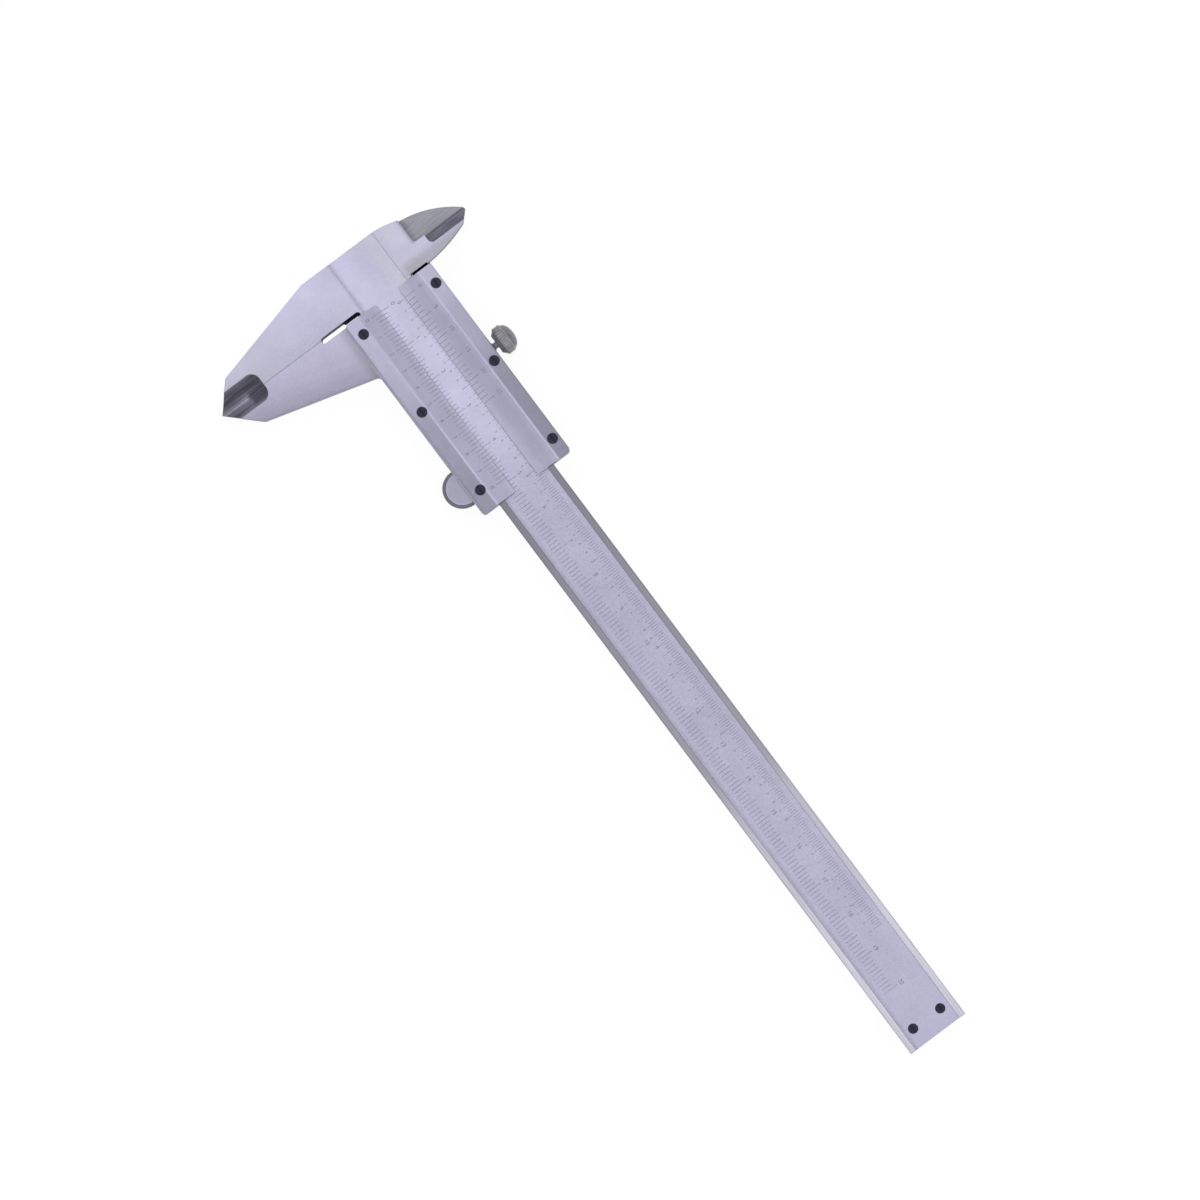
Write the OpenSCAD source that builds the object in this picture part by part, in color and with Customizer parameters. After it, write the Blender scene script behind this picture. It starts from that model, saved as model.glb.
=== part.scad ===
// Vernier caliper, jaws closed, lying on its back.
// X runs along the beam from the closed jaws to the tail, Y across it towards
// the inside jaws, Z out of the graduated front. The origin is the zero point:
// where the jaws meet, on the beam's centre line, level with the slider's back.

/* [Beam] */
// Width of the beam
beam_w = 16; // [15:0.5:17]
// Thickness of the beam and of the outside jaws
beam_t = 3.5; // [3.3:0.1:3.8]
// Distance from the closed jaws to the tail end
tail_x = 218; // [214:0.2:240]
// Width of each polished rail beside the sunk scale strip
rail_w = 1.6; // [1.2:0.1:1.8]
// Depth of the scale strip below the rails
strip_depth = 0.25; // [0.1:0.05:0.4]
// Width of the depth rod's groove in the beam's back
groove_w = 3.8; // [3.6:0.1:4.2]
// Depth of that groove
groove_depth = 1.4; // [1.3:0.05:1.6]

/* [Fixed jaws] */
// Width of the head from the closed jaws to its left side
head_w = 13.4; // [12.5:0.1:14]
// Distance from the beam's centre line to the outside jaws' tips
outer_tip_y = 47.8; // [46:0.2:50]
// Distance from the beam's centre line to the inside jaws' tips
inner_tip_y = 27.5; // [26.5:0.1:29]
// Height of the head's shoulder above the centre line
shoulder_y = 13.0; // [12.6:0.1:13.4]
// Place of the inside jaws' two measuring edges when closed
inner_edge_x = -5.5; // [-5.8:0.1:-5.2]

/* [Knife edges] */
// Length of the hollow-ground stretch at the outside jaws' tips
hollow_len = 12.4; // [10:0.2:14]
// Depth of the hollow on each side of a jaw
hollow_depth = 1.2; // [0.8:0.1:1.4]
// Thickness left at the inside jaws' measuring edges
knife_t = 0.4; // [0.3:0.1:0.8]
// Width of the bevel on each inside jaw
bevel_w = 2.7; // [2:0.1:3]

/* [Slider] */
// Left end of the slider frame when closed
slider_x0 = 0.9; // [0.8:0.1:1.2]
// Length of the slider frame
slider_len = 55; // [54.6:0.2:56]
// Upper edge of the slider above the centre line
slider_top = 13.2; // [13:0.1:14]
// Lower edge of the slider below the centre line
slider_low = 12.5; // [12.3:0.05:12.6]
// Thickness of the slider's back wall
back_t = 2.0; // [1.9:0.1:2.4]
// Thickness of each vernier plate
plate_t = 2.0; // [1.8:0.1:2.4]
// Thickness of a vernier plate along its graduated edge
plate_edge_t = 0.35; // [0.25:0.05:0.5]
// Step from the frame's lower edge in to the metric plate's
plate_step = 0.55; // [0.3:0.05:0.6]
// Width of the moving outside jaw at its root
moving_jaw_w = 14.4; // [14:0.1:15]

/* [Lock screw and thumb roller] */
// Diameter of the lock screw's knurled head
lock_head_d = 7.2; // [6.8:0.1:7.4]
// Diameter of the lock screw's threaded stud
lock_stud_d = 2.5; // [2:0.1:2.6]
// Place of the lock screw along the beam
lock_x = 25.3; // [25:0.1:25.5]
// Place of the thumb roller along the beam
roller_x = 47.7; // [47.5:0.1:48]
// Radius of the thumb roller, which bears on the beam's lower edge
roller_r = 4.76; // [4.6:0.02:4.8]
// Thickness of the thumb roller
roller_t = 2.4; // [2.2:0.1:2.5]

/* [Depth rod and end stop] */
// Width of the depth rod
rod_w = 3.3; // [3:0.1:3.4]
// Thickness of the depth rod
rod_t = 1.1; // [1:0.05:1.1]
// Length of the end stop block along the beam
stop_len = 8.2; // [7.5:0.1:8.4]

/* [Screws] */
// Diameter of the small black screws' heads
screw_head_d = 2.4; // [2.2:0.1:2.5]
// Diameter of their shanks
screw_d = 1.2; // [1:0.1:1.4]

/* [Hidden] */
$fn = 64;
fine_fn = 128;
eps = 0.01;
// How far a cut runs on past the solid it cuts
past = 1;
// Running clearances: beside the beam, of a pin in its hole, and of seated parts
run = 0.05;
pin_gap = 0.05;
seat_gap = 0.02;

// Levels above the slider's back face
beam_z0 = back_t + run;
beam_z1 = beam_z0 + beam_t;
mid_z = beam_z0 + beam_t / 2;
strip_z = beam_z1 - strip_depth;
wall_top = beam_z1 + run;
front_z = wall_top + plate_t;

// Head and outside jaws
half_w = beam_w / 2;
beam_edge = 0.2;
jaw_gap = 0.01;
head_corner_y = 14.3;
fixed_chamfer = [-6.5, -41.9];
moving_chamfer = [7.0, -40.6];
moving_root = [slider_x0 + moving_jaw_w - 0.45, -slider_low];
moving_fillet = 1.2;
tip_clear = 0.03;

// Relief at the outside jaws' roots: a slot, with a blind groove above it in the head
relief_x = [-0.45, 1.05];
slot_y = [-18.5, -11.5];
groove_y = [slot_y[0], -7.2];
groove_floor = 1.2;
upper_relief_x = 0;
upper_relief_y = [7.8, 12.6];

// Inside jaws: each takes half of the beam's thickness
head_side_r = 24;
head_side_y = 5;
shoulder_x = -head_w + 1.4;
blade_left_r = 26;
blade_left_low = [shoulder_x, shoulder_y - 0.5];
blade_left_high = [inner_edge_x - 0.1, inner_tip_y - 0.2];
blade_right_r = 40;
blade_root_y = 16.0;
blade_corner = [-2.2, 25.0];
blade_foot = [0.3, 13.0];
blade_top_w = 0.7;
blade_top_drop = 0.2;
arm_low_y = half_w + 0.12;
arm_run = 7.2;
arm_root = 2;
foot_fillet = 0.8;
bevel_corner = 1.3;

// Hollow grinding at the outside tips
hollow_x0 = -4.1;
hollow_x1 = 3.3;
hollow_mid = (hollow_x0 + hollow_x1) / 2;
hollow_half = (hollow_x1 - hollow_x0) / 2;
hollow_r = (pow(hollow_half, 2) + pow(hollow_depth, 2)) / (2 * hollow_depth);
hollow_corner = 2.4;

// Slider
slider_x1 = slider_x0 + slider_len;
slider_corner = 0.8;
back_chamfer = 0.4;
gib_t = 0.5;
gib_gap = 0.14;
gib_z = 3.0;
gib_x0 = 8;
gib_x1 = 43;
gib_y0 = half_w + gib_gap;
channel_top = gib_y0 + gib_t + gib_gap;
tab_h = 1.1;
tab_room = 0.4;
upper_crest = 9.4;
upper_window = 3.6;
lower_crest = 8.0;
lower_window = 3.1;
edge_break = 0.3;
cove_r = 1.2;

// Screws of the two vernier plates and of the end stop
screw_pitch = 22.85;
upper_screw_x = 5.5;
upper_screw_y = 11.4;
lower_screw_x = 5.0;
lower_screw_y = -9.47;
plate_screw_len = 2.8;
head_h = (screw_head_d - screw_d) / 2;
head_land = 0.3;
slot_w = 0.35;
slot_depth = 0.4;
seat_depth = 0.1;
SIDES = ["left", "middle", "right"];

// Gib set screws
gib_screw_d = 2.0;
gib_screw_x = [14.5, 38.5];
gib_screw_sunk = 0.4;
gib_slot_depth = 0.6;
GIB_SIDES = ["left", "right"];

// Lock screw
neck_len = 1.1;
neck_taper = 0.4;
neck_r = 0.8;
under_r = 2.4;
under_h = 0.9;
band_h = 2.1;
dome_h = 1.8;
band_chamfer = 0.3;
neck_y = slider_top + neck_len;
band_y0 = neck_y + under_h;
band_y1 = band_y0 + band_h;
lock_r = lock_head_d / 2;
dome_foot_r = lock_r - 0.4;
knurl_n = 28;
knurl_r = 0.3;
knurl_depth = 0.16;

// Thumb roller, on a pin riveted into a lobe of the back wall
roller_y = -(half_w + roller_r + seat_gap);
washer_t = 0.2;
roller_z0 = back_t + washer_t + run;
roller_z1 = roller_z0 + roller_t;
pocket_r = roller_r + 0.45;
pocket_z1 = roller_z1 + 0.1;
lobe_r = 3.9;
axle_r = 1.0;
rivet_r = 0.8;
washer_r = 3.0;
roller_knurls = 44;
roller_face_r = 3.9;
roller_dish = 0.15;
roller_cap = 0.6;
roller_edge = 0.35;

// Depth rod, riveted to a low pad inside the back wall
pad_h = 0.15;
rod_z0 = back_t + pad_h;
rod_x0 = 8;
rod_rivet_x = [11, 20];
rod_rivet_r = 0.75;
rod_pad_x1 = 24;
rod_notch = [2.2, 0.9];
rod_groove_x0 = rod_x0 - 1.2;

// End stop block under the tail
stop_x1 = tail_x - 0.4;
stop_half_w = half_w - 0.5;
stop_screw_x = tail_x - 4.5;
stop_screw_y = 4;
stop_screw_len = strip_z - 0.35;
TAIL_SIDES = ["lower", "upper"];

// Extrudes a Y-Z profile from x0 to x1
module along_x(x0, x1) {
    translate([x0, 0, 0])
        rotate([90, 0, 90])
            linear_extrude(x1 - x0) children();
}

// Extrudes a front-view outline from z0 to z1
module slab(z0, z1) {
    translate([0, 0, z0]) linear_extrude(z1 - z0) children();
}

// A box given by two opposite corners
module box(low, high) {
    translate(low) cube(high - low);
}

// Rounded rectangle from its low to its high corner, with true arcs
module rounded(low, high, r) {
    for (x = [low.x + r, high.x - r], y = [low.y + r, high.y - r])
        translate([x, y]) circle(r);
    translate([low.x + r, low.y]) square([high.x - low.x - 2 * r, high.y - low.y]);
    translate([low.x, low.y + r]) square([high.x - low.x, high.y - low.y - 2 * r]);
}

// Centre of the circle of radius r through a and b, to the right of the way from a to b
function arc_centre(a, b, r) =
    let (d = b - a, len = norm(d), h = sqrt(r * r - len * len / 4))
    (a + b) / 2 + h * [d.y, -d.x] / len;

// Fills the inner corner between the directions a and b with a true arc of radius r
module corner_fillet(corner, a, b, r) {
    u = a / norm(a);
    v = b / norm(b);
    half = acos(u * v) / 2;
    reach = r / tan(half);
    lap = 0.3;
    difference() {
        polygon([corner - lap * (u + v), corner + reach * u, corner + reach * v]);
        translate(corner + (u + v) / norm(u + v) * r / sin(half)) circle(r);
    }
}

// Shared outlines, front view

module fixed_outer_jaw_outline() {
    polygon([
        [-head_w, 0], [-head_w, -head_corner_y], fixed_chamfer, [0, -outer_tip_y], [0, 0]
    ]);
}

// Head up to its shoulder, its left side drawn in by an arc
module head_outline() {
    left = arc_centre([-head_w, head_side_y], [shoulder_x, shoulder_y], head_side_r);
    translate([-head_w, 0]) square([head_w, head_side_y]);
    intersection() {
        translate([-head_w, 0]) square([head_w + blade_foot.x, shoulder_y]);
        translate(left) circle(head_side_r, $fn = fine_fn);
    }
}

// The fixed inside jaw, on the front half of the thickness
module fixed_blade_outline() {
    intersection() {
        polygon([
            [inner_edge_x, half_w], [inner_edge_x, inner_tip_y - blade_top_drop],
            [inner_edge_x + blade_top_w, inner_tip_y], blade_corner,
            [blade_foot.x, blade_corner.y], [blade_foot.x, half_w]
        ]);
        union() {
            translate(arc_centre(blade_corner, blade_foot, blade_right_r))
                circle(blade_right_r, $fn = fine_fn);
            translate([inner_edge_x, half_w])
                square([blade_foot.x - inner_edge_x, blade_foot.y - half_w]);
            translate([inner_edge_x, blade_foot.y])
                square([blade_corner.x - inner_edge_x, inner_tip_y - blade_foot.y]);
        }
    }
    corner_fillet([inner_edge_x, shoulder_y], [-1, 0], [0, 1], foot_fillet);
}

// The moving inside jaw and its arm, on the back half of the thickness
module moving_blade_outline() {
    low = blade_left_low;
    root_x = slider_x0 + arm_root;
    intersection() {
        translate(arc_centre(low, blade_left_high, blade_left_r))
            circle(blade_left_r, $fn = fine_fn);
        polygon([
            [root_x, arm_low_y], [low.x + arm_run, arm_low_y], [low.x - past, low.y],
            [low.x - past, inner_tip_y], [inner_edge_x, inner_tip_y],
            [inner_edge_x, blade_root_y], [-blade_top_w, slider_top], [root_x, slider_top]
        ]);
    }
}

module moving_outer_jaw_outline() {
    side = moving_chamfer - moving_root;
    root_y = -slider_low + past;
    polygon([
        [jaw_gap, -slider_low], [jaw_gap, -outer_tip_y + tip_clear], moving_chamfer,
        moving_root, [moving_root.x, root_y], [slider_x0 + past, root_y]
    ]);
    corner_fillet(moving_root, [1, 0], side, moving_fillet);
}

// Relief between the outside jaws at their roots, over a stretch of Y, with round ends
module relief_outline(stretch) {
    r = (relief_x[1] - relief_x[0]) / 2;
    rounded([relief_x[0], stretch[0]], [relief_x[1], stretch[1]], r - eps);
}

// The slot cut right through both outside jaws
module relief_slot() {
    slab(0, front_z) relief_outline(slot_y);
}

// The blind groove that carries the relief on up the head, and the upper gap beside it
module head_relief() {
    slab(beam_z0 + groove_floor, front_z) relief_outline(groove_y);
    box([upper_relief_x, upper_relief_y[0], mid_z], [relief_x[1], upper_relief_y[1], front_z]);
}

// Hollow ground from the front and from the back at the outside tips
module tip_hollows() {
    intersection() {
        slab(0, front_z)
            rounded([hollow_x0, -outer_tip_y - 2 * hollow_corner],
                    [hollow_x1, -outer_tip_y + hollow_len], hollow_corner);
        for (side = [-1, 1])
            translate([hollow_mid, 0, mid_z + side * (beam_t / 2 + hollow_r - hollow_depth)])
                rotate([90, 0, 0]) cylinder(r = hollow_r, h = outer_tip_y + past, $fn = fine_fn);
    }
}

// Wedge that grinds a blade to its knife edge; side +1 bevels the front, -1 the back
module knife_bevel(side) {
    face = mid_z + side * beam_t / 2;
    edge = mid_z + side * knife_t;
    x_in = inner_edge_x + side * bevel_w;
    x_out = inner_edge_x - side * bevel_corner;
    high_y = inner_tip_y + 2 * bevel_corner;
    intersection() {
        translate([0, high_y, 0])
            rotate([90, 0, 0])
                linear_extrude(high_y)
                    polygon([
                        [x_in, face], [inner_edge_x, edge], [x_out, edge],
                        [x_out, face + side * past], [x_in, face + side * past]
                    ]);
        slab(0, front_z)
            rounded([min(x_in, x_out), blade_root_y], [max(x_in, x_out), high_y], bevel_corner);
    }
}

// Countersunk slotted screw along Z, its head flush at the given level
module flush_screw(len) {
    difference() {
        union() {
            translate([0, 0, -len]) cylinder(d = screw_d, h = len);
            translate([0, 0, -head_land]) cylinder(d = screw_head_d, h = head_land);
            translate([0, 0, -head_land - head_h])
                cylinder(d1 = screw_d, d2 = screw_head_d, h = head_h);
        }
        box([-screw_head_d, -slot_w / 2, -slot_depth], [screw_head_d, slot_w / 2, past]);
    }
}

// The hole that such a screw seats in
module screw_seat(len) {
    translate([0, 0, -len - seat_depth]) cylinder(d = screw_d + 2 * seat_gap, h = len);
    translate([0, 0, -head_land]) cylinder(d = screw_head_d + 2 * seat_gap, h = head_land + past);
    translate([0, 0, -head_land - head_h])
        cylinder(d1 = screw_d + 2 * seat_gap, d2 = screw_head_d + 2 * seat_gap, h = head_h);
}

function upper_screw_at(i) = [upper_screw_x + i * screw_pitch, upper_screw_y, front_z];
function lower_screw_at(i) = [lower_screw_x + i * screw_pitch, lower_screw_y, front_z];
function stop_screw_at(i) = [stop_screw_x, (2 * i - 1) * stop_screw_y, strip_z];

// Straight knurl: n grooves cut round a rim of radius r, along Z
module knurl_cuts(n, r, h) {
    for (i = [0:n - 1])
        rotate(i * 360 / n)
            translate([r + knurl_r - knurl_depth, 0, -eps])
                cylinder(r = knurl_r, h = h + 2 * eps, $fn = 24);
}

// Beam, head, fixed outside jaw and fixed inside jaw, one forging
module main_beam() {
    edge = beam_edge;
    color("lightsteelblue")
    difference() {
        union() {
            along_x(-eps, tail_x)
                polygon([
                    [-half_w + edge, beam_z0], [half_w - edge, beam_z0], [half_w, beam_z0 + edge],
                    [half_w, beam_z1 - edge], [half_w - edge, beam_z1], [-half_w + edge, beam_z1],
                    [-half_w, beam_z1 - edge], [-half_w, beam_z0 + edge]
                ]);
            slab(beam_z0, beam_z1) intersection() {
                head_outline();
                translate([-head_w, 0]) square([head_w, half_w]);
            }
            slab(mid_z + tip_clear, beam_z1) {
                head_outline();
                fixed_blade_outline();
            }
            slab(beam_z0, beam_z1) fixed_outer_jaw_outline();
        }
        // Sunk scale strip, through the head and to the tail
        box([-head_w - past, -half_w + rail_w, strip_z],
            [tail_x + past, half_w - rail_w, beam_z1 + past]);
        // Groove of the depth rod
        box([rod_groove_x0, -groove_w / 2, 0],
            [tail_x + past, groove_w / 2, beam_z0 + groove_depth]);
        relief_slot();
        head_relief();
        tip_hollows();
        knife_bevel(1);
        for (i = [0, 1]) translate(stop_screw_at(i)) screw_seat(stop_screw_len);
    }
}

// Block of the frame, its ends rounded and its back's long edges chamfered
module frame_block() {
    c = back_chamfer;
    intersection() {
        slab(0, wall_top)
            rounded([slider_x0, -slider_low], [slider_x1, slider_top], slider_corner);
        along_x(slider_x0, slider_x1)
            polygon([
                [c - slider_low, 0], [slider_top - c, 0], [slider_top, c],
                [slider_top, wall_top], [-slider_low, wall_top], [-slider_low, c]
            ]);
    }
}

// Slider frame with the moving jaws: back wall, two side walls and the jaws, one forging
module slider_frame() {
    color("lightgray")
    difference() {
        union() {
            frame_block();
            slab(beam_z0, beam_z1) moving_outer_jaw_outline();
            slab(beam_z0, mid_z - tip_clear) moving_blade_outline();
            translate([roller_x, roller_y, 0]) cylinder(r = lobe_r, h = back_t);
            jaw_cove();
        }
        // Channel for the beam, with the gib spring's room above it
        box([slider_x0 - eps, -half_w - run, back_t], [slider_x1 + past, channel_top, front_z]);
        for (x = [gib_x0, gib_x1 - gib_t])
            box([x - tab_room, 0, mid_z - gib_z / 2 - run],
                [x + gib_t + tab_room, channel_top + tab_h + tab_room, mid_z + gib_z / 2 + run]);
        translate([lock_x, 0, mid_z]) rotate([-90, 0, 0])
            cylinder(d = lock_stud_d + 2 * pin_gap, h = slider_top + past);
        for (x = gib_screw_x)
            translate([x, 0, mid_z]) rotate([-90, 0, 0])
                cylinder(d = gib_screw_d + 2 * seat_gap, h = slider_top + past);
        translate([roller_x, roller_y, back_t]) cylinder(r = pocket_r, h = pocket_z1 - back_t);
        translate([roller_x, roller_y, -past])
            cylinder(r = rivet_r + seat_gap, h = back_t + 2 * past);
        for (x = rod_rivet_x)
            translate([x, 0, -past]) cylinder(r = rod_rivet_r + seat_gap, h = back_t + 2 * past);
        relief_slot();
        tip_hollows();
        knife_bevel(-1);
        for (i = [0:2]) {
            translate(upper_screw_at(i)) screw_seat(plate_screw_len);
            translate(lower_screw_at(i)) screw_seat(plate_screw_len);
        }
    }
    // Low pad that the depth rod is riveted to
    color("lightgray")
    difference() {
        box([rod_x0, -rod_w / 2, back_t - eps], [rod_pad_x1, rod_w / 2, rod_z0]);
        for (x = rod_rivet_x)
            translate([x, 0, 0]) cylinder(r = rod_rivet_r + seat_gap, h = front_z);
    }
}

// Concave root between the frame's lower wall and the moving outside jaw's back
module jaw_cove() {
    x1 = moving_root.x + moving_fillet;
    intersection() {
        difference() {
            box([slider_x0, -slider_low - cove_r, beam_z0 - cove_r],
                [x1, -slider_low + eps, beam_z0 + eps]);
            translate([0, -slider_low - cove_r, beam_z0 - cove_r])
                rotate([0, 90, 0]) cylinder(r = cove_r, h = x1 + past);
        }
        slab(0, front_z) moving_outer_jaw_outline();
    }
}

// Outline of a vernier plate's section, from its outer edge to its graduated edge
module vernier_section(outer, crest, window) {
    s = sign(outer);
    polygon([
        [outer, wall_top], [window, wall_top], [window, wall_top + plate_edge_t],
        [crest, front_z], [outer - s * edge_break, front_z], [outer, front_z - edge_break]
    ]);
}

module vernier_plate(outer, crest, window) {
    low_y = min(outer, window);
    high_y = max(outer, window);
    round_y = outer > 0 ? low_y - slider_corner : low_y;
    round_h = high_y - low_y + slider_corner;
    intersection() {
        along_x(slider_x0, slider_x1) vernier_section(outer, crest, window);
        slab(0, front_z + past)
            rounded([slider_x0, round_y], [slider_x1, round_y + round_h], slider_corner);
    }
}

module inch_vernier_plate() {
    color("gainsboro")
    difference() {
        vernier_plate(slider_top, upper_crest, upper_window);
        for (i = [0:2]) translate(upper_screw_at(i)) screw_seat(plate_screw_len);
    }
}

module metric_vernier_plate() {
    color("gainsboro")
    difference() {
        vernier_plate(-slider_low + plate_step, -lower_crest, -lower_window);
        for (i = [0:2]) translate(lower_screw_at(i)) screw_seat(plate_screw_len);
    }
}

module plate_screw(at) {
    color("black") translate(at) flush_screw(plate_screw_len);
}

// Flat bronze spring between the beam's upper edge and the frame, hooked at both ends
module gib_spring() {
    z0 = mid_z - gib_z / 2;
    z1 = mid_z + gib_z / 2;
    color("peru") {
        box([gib_x0, gib_y0, z0], [gib_x1, gib_y0 + gib_t, z1]);
        for (x = [gib_x0, gib_x1 - gib_t])
            box([x, gib_y0, z0], [x + gib_t, gib_y0 + gib_t + tab_h, z1]);
    }
}

// Headless slotted screw that sets the gib spring
module gib_set_screw(i) {
    top = slider_top - gib_screw_sunk;
    color("dimgray")
    translate([gib_screw_x[i], 0, mid_z])
    difference() {
        rotate([-90, 0, 0])
            translate([0, 0, channel_top]) cylinder(d = gib_screw_d, h = top - channel_top);
        box([-slot_w / 2, top - gib_slot_depth, -gib_screw_d],
            [slot_w / 2, top + past, gib_screw_d]);
    }
}

// Lock screw: stud, neck and a knurled head with a domed top
module lock_screw() {
    tip_y = gib_y0 + gib_t;
    stud_r = lock_stud_d / 2;
    dome_r = (pow(dome_foot_r, 2) + pow(dome_h, 2)) / (2 * dome_h);
    color("slategray")
    translate([lock_x, 0, mid_z])
    rotate([-90, 0, 0]) {
        translate([0, 0, tip_y]) cylinder(r = stud_r, h = slider_top - tip_y);
        translate([0, 0, slider_top]) cylinder(r1 = stud_r, r2 = neck_r, h = neck_taper);
        translate([0, 0, slider_top + neck_taper]) cylinder(r = neck_r, h = neck_len - neck_taper);
        translate([0, 0, neck_y]) cylinder(r1 = under_r, r2 = lock_r - band_chamfer, h = under_h);
        difference() {
            translate([0, 0, band_y0]) cylinder(r = lock_r, h = band_h);
            translate([0, 0, band_y0]) knurl_cuts(knurl_n, lock_r, band_h);
        }
        intersection() {
            translate([0, 0, band_y1 + dome_h - dome_r]) sphere(dome_r);
            translate([0, 0, band_y1]) cylinder(r = dome_foot_r, h = dome_h);
        }
    }
}

// Knurled wheel under the slider, with a dished front face
module thumb_roller() {
    color("silver")
    translate([roller_x, roller_y, 0])
    difference() {
        union() {
            translate([0, 0, roller_z0])
                cylinder(r1 = roller_r - roller_edge, r2 = roller_r, h = roller_edge);
            translate([0, 0, roller_z0 + roller_edge])
                cylinder(r = roller_r, h = roller_t - 2 * roller_edge);
            translate([0, 0, roller_z1 - roller_edge])
                cylinder(r1 = roller_r, r2 = roller_r - roller_edge, h = roller_edge);
        }
        translate([0, 0, roller_z0]) knurl_cuts(roller_knurls, roller_r, roller_t);
        translate([0, 0, roller_z1 - roller_dish]) cylinder(r = roller_face_r, h = past);
        cylinder(r = axle_r + pin_gap, h = roller_z1 - roller_cap);
    }
}

// Shouldered pin in the roller's blind bore, its thin end riveted into the back wall's lobe
module roller_axle() {
    color("gray")
    translate([roller_x, roller_y, 0]) {
        cylinder(r = rivet_r, h = back_t);
        translate([0, 0, back_t])
            cylinder(r = axle_r, h = roller_z1 - roller_cap - pin_gap - back_t);
    }
}

// Spring washer between the lobe and the roller
module roller_washer() {
    color("goldenrod")
    translate([roller_x, roller_y, back_t])
    difference() {
        cylinder(r = washer_r, h = washer_t);
        translate([0, 0, -past]) cylinder(r = axle_r + pin_gap, h = washer_t + 2 * past);
    }
}

// Blade in the beam's back groove, its tip relieved at one corner
module depth_rod() {
    color("silver")
    difference() {
        box([rod_x0, -rod_w / 2, rod_z0], [tail_x, rod_w / 2, rod_z0 + rod_t]);
        box([tail_x - rod_notch.x, -rod_w, 0],
            [tail_x + past, -rod_w / 2 + rod_notch.y, front_z]);
        for (x = rod_rivet_x)
            translate([x, 0, 0]) cylinder(r = rod_rivet_r + seat_gap, h = front_z);
    }
}

module depth_rod_rivets() {
    color("gray")
    for (x = rod_rivet_x)
        translate([x, 0, 0]) cylinder(r = rod_rivet_r, h = rod_z0 + rod_t);
}

// Block under the tail that stops the slider and closes the groove
module end_stop_block() {
    color("lightgray")
    difference() {
        slab(0, beam_z0)
            rounded([stop_x1 - stop_len, -stop_half_w], [stop_x1, stop_half_w], slider_corner);
        for (i = [0, 1]) translate(stop_screw_at(i)) screw_seat(stop_screw_len);
    }
}

module end_stop_screw(i) {
    color("black") translate(stop_screw_at(i)) flush_screw(stop_screw_len);
}

main_beam();
slider_frame();
inch_vernier_plate();
metric_vernier_plate();
for (i = [0:2]) {
    plate_screw(upper_screw_at(i));
    plate_screw(lower_screw_at(i));
}
gib_spring();
for (i = [0, 1]) {
    gib_set_screw(i);
    end_stop_screw(i);
}
lock_screw();
thumb_roller();
roller_axle();
roller_washer();
depth_rod();
depth_rod_rivets();
end_stop_block();
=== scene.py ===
"""Vernier caliper: finishes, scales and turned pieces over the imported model, in metres."""
import math
from typing import NamedTuple

import bmesh
import bpy
from bpy.props import FloatProperty, FloatVectorProperty, IntProperty, PointerProperty
from bpy.types import Operator, Panel, PropertyGroup
from mathutils import Matrix, Vector


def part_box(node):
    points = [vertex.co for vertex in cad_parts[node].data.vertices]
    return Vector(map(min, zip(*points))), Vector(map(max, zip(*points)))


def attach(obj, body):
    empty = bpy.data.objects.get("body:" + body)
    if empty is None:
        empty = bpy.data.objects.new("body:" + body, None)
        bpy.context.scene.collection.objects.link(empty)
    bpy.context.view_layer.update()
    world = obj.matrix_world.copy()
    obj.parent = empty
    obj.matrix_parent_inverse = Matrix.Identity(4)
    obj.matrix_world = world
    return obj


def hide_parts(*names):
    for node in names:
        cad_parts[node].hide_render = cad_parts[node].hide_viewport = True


bl_info = {
    "name": "Vernier Caliper",
    "version": (1, 0, 0),
    "blender": (4, 5, 0),
    "location": "3D View > Sidebar > Caliper",
    "description": "Finishes, scales and turned pieces of a sliding vernier caliper",
    "category": "Object",
}

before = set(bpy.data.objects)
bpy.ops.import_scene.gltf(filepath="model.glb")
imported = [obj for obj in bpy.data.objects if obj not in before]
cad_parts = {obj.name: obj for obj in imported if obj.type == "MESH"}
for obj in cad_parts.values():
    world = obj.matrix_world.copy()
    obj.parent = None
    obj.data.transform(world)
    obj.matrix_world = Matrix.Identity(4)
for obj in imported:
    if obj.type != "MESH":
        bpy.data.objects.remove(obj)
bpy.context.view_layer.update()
MM = 0.001


def linear(hex_code):
    """The linear colour of an sRGB hex value."""
    parts = [int(hex_code[i:i + 2], 16) / 255 for i in (0, 2, 4)]
    return tuple(c / 12.92 if c <= 0.04045 else ((c + 0.055) / 1.055) ** 2.4 for c in parts)


def opaque(colour, share=1.0):
    """A colour with full alpha, its brightness multiplied by a share."""
    return tuple(min(1.0, c * share) for c in colour) + (1.0,)


def grey(tone):
    """A neutral tone for multiplying: it lightens where it is above 1."""
    return (tone, tone, tone, 1.0)


class Patch(NamedTuple):
    """A box in mm, open where it says None, with the softness of its edge and a tone."""
    low: tuple
    high: tuple
    soft: float
    tone: tuple = (1.0, 1.0, 1.0, 1.0)


class Ring(NamedTuple):
    """Distances in mm from a centre in metres, with a tone and a share of bare metal."""
    centre: tuple
    inner: float
    outer: float
    tone: float
    metal: float = 1.0


# Directions and open corners
OPEN = (None, None, None)
ACROSS = (0.0, 1.0, 0.0)
LENGTHWISE = (1.0, 0.0, 0.0)

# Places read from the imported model: boxes in metres, heights in mm
BEAM_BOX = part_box("main_beam")
PLATE_LOW, PLATE_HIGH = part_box("metric_vernier_plate")
PLATE_FRONT_Z = PLATE_HIGH[2] / MM
WALL_TOP_Z = PLATE_LOW[2] / MM
FRONT_Z = BEAM_BOX[1][2] / MM
BACK_Z = BEAM_BOX[0][2] / MM
PLATE_SCREWS = [f"{side}_plate_screw_{place}" for side in ("inch", "metric")
                for place in ("left", "middle", "right")]
SMALL_SCREWS = 10

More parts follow.
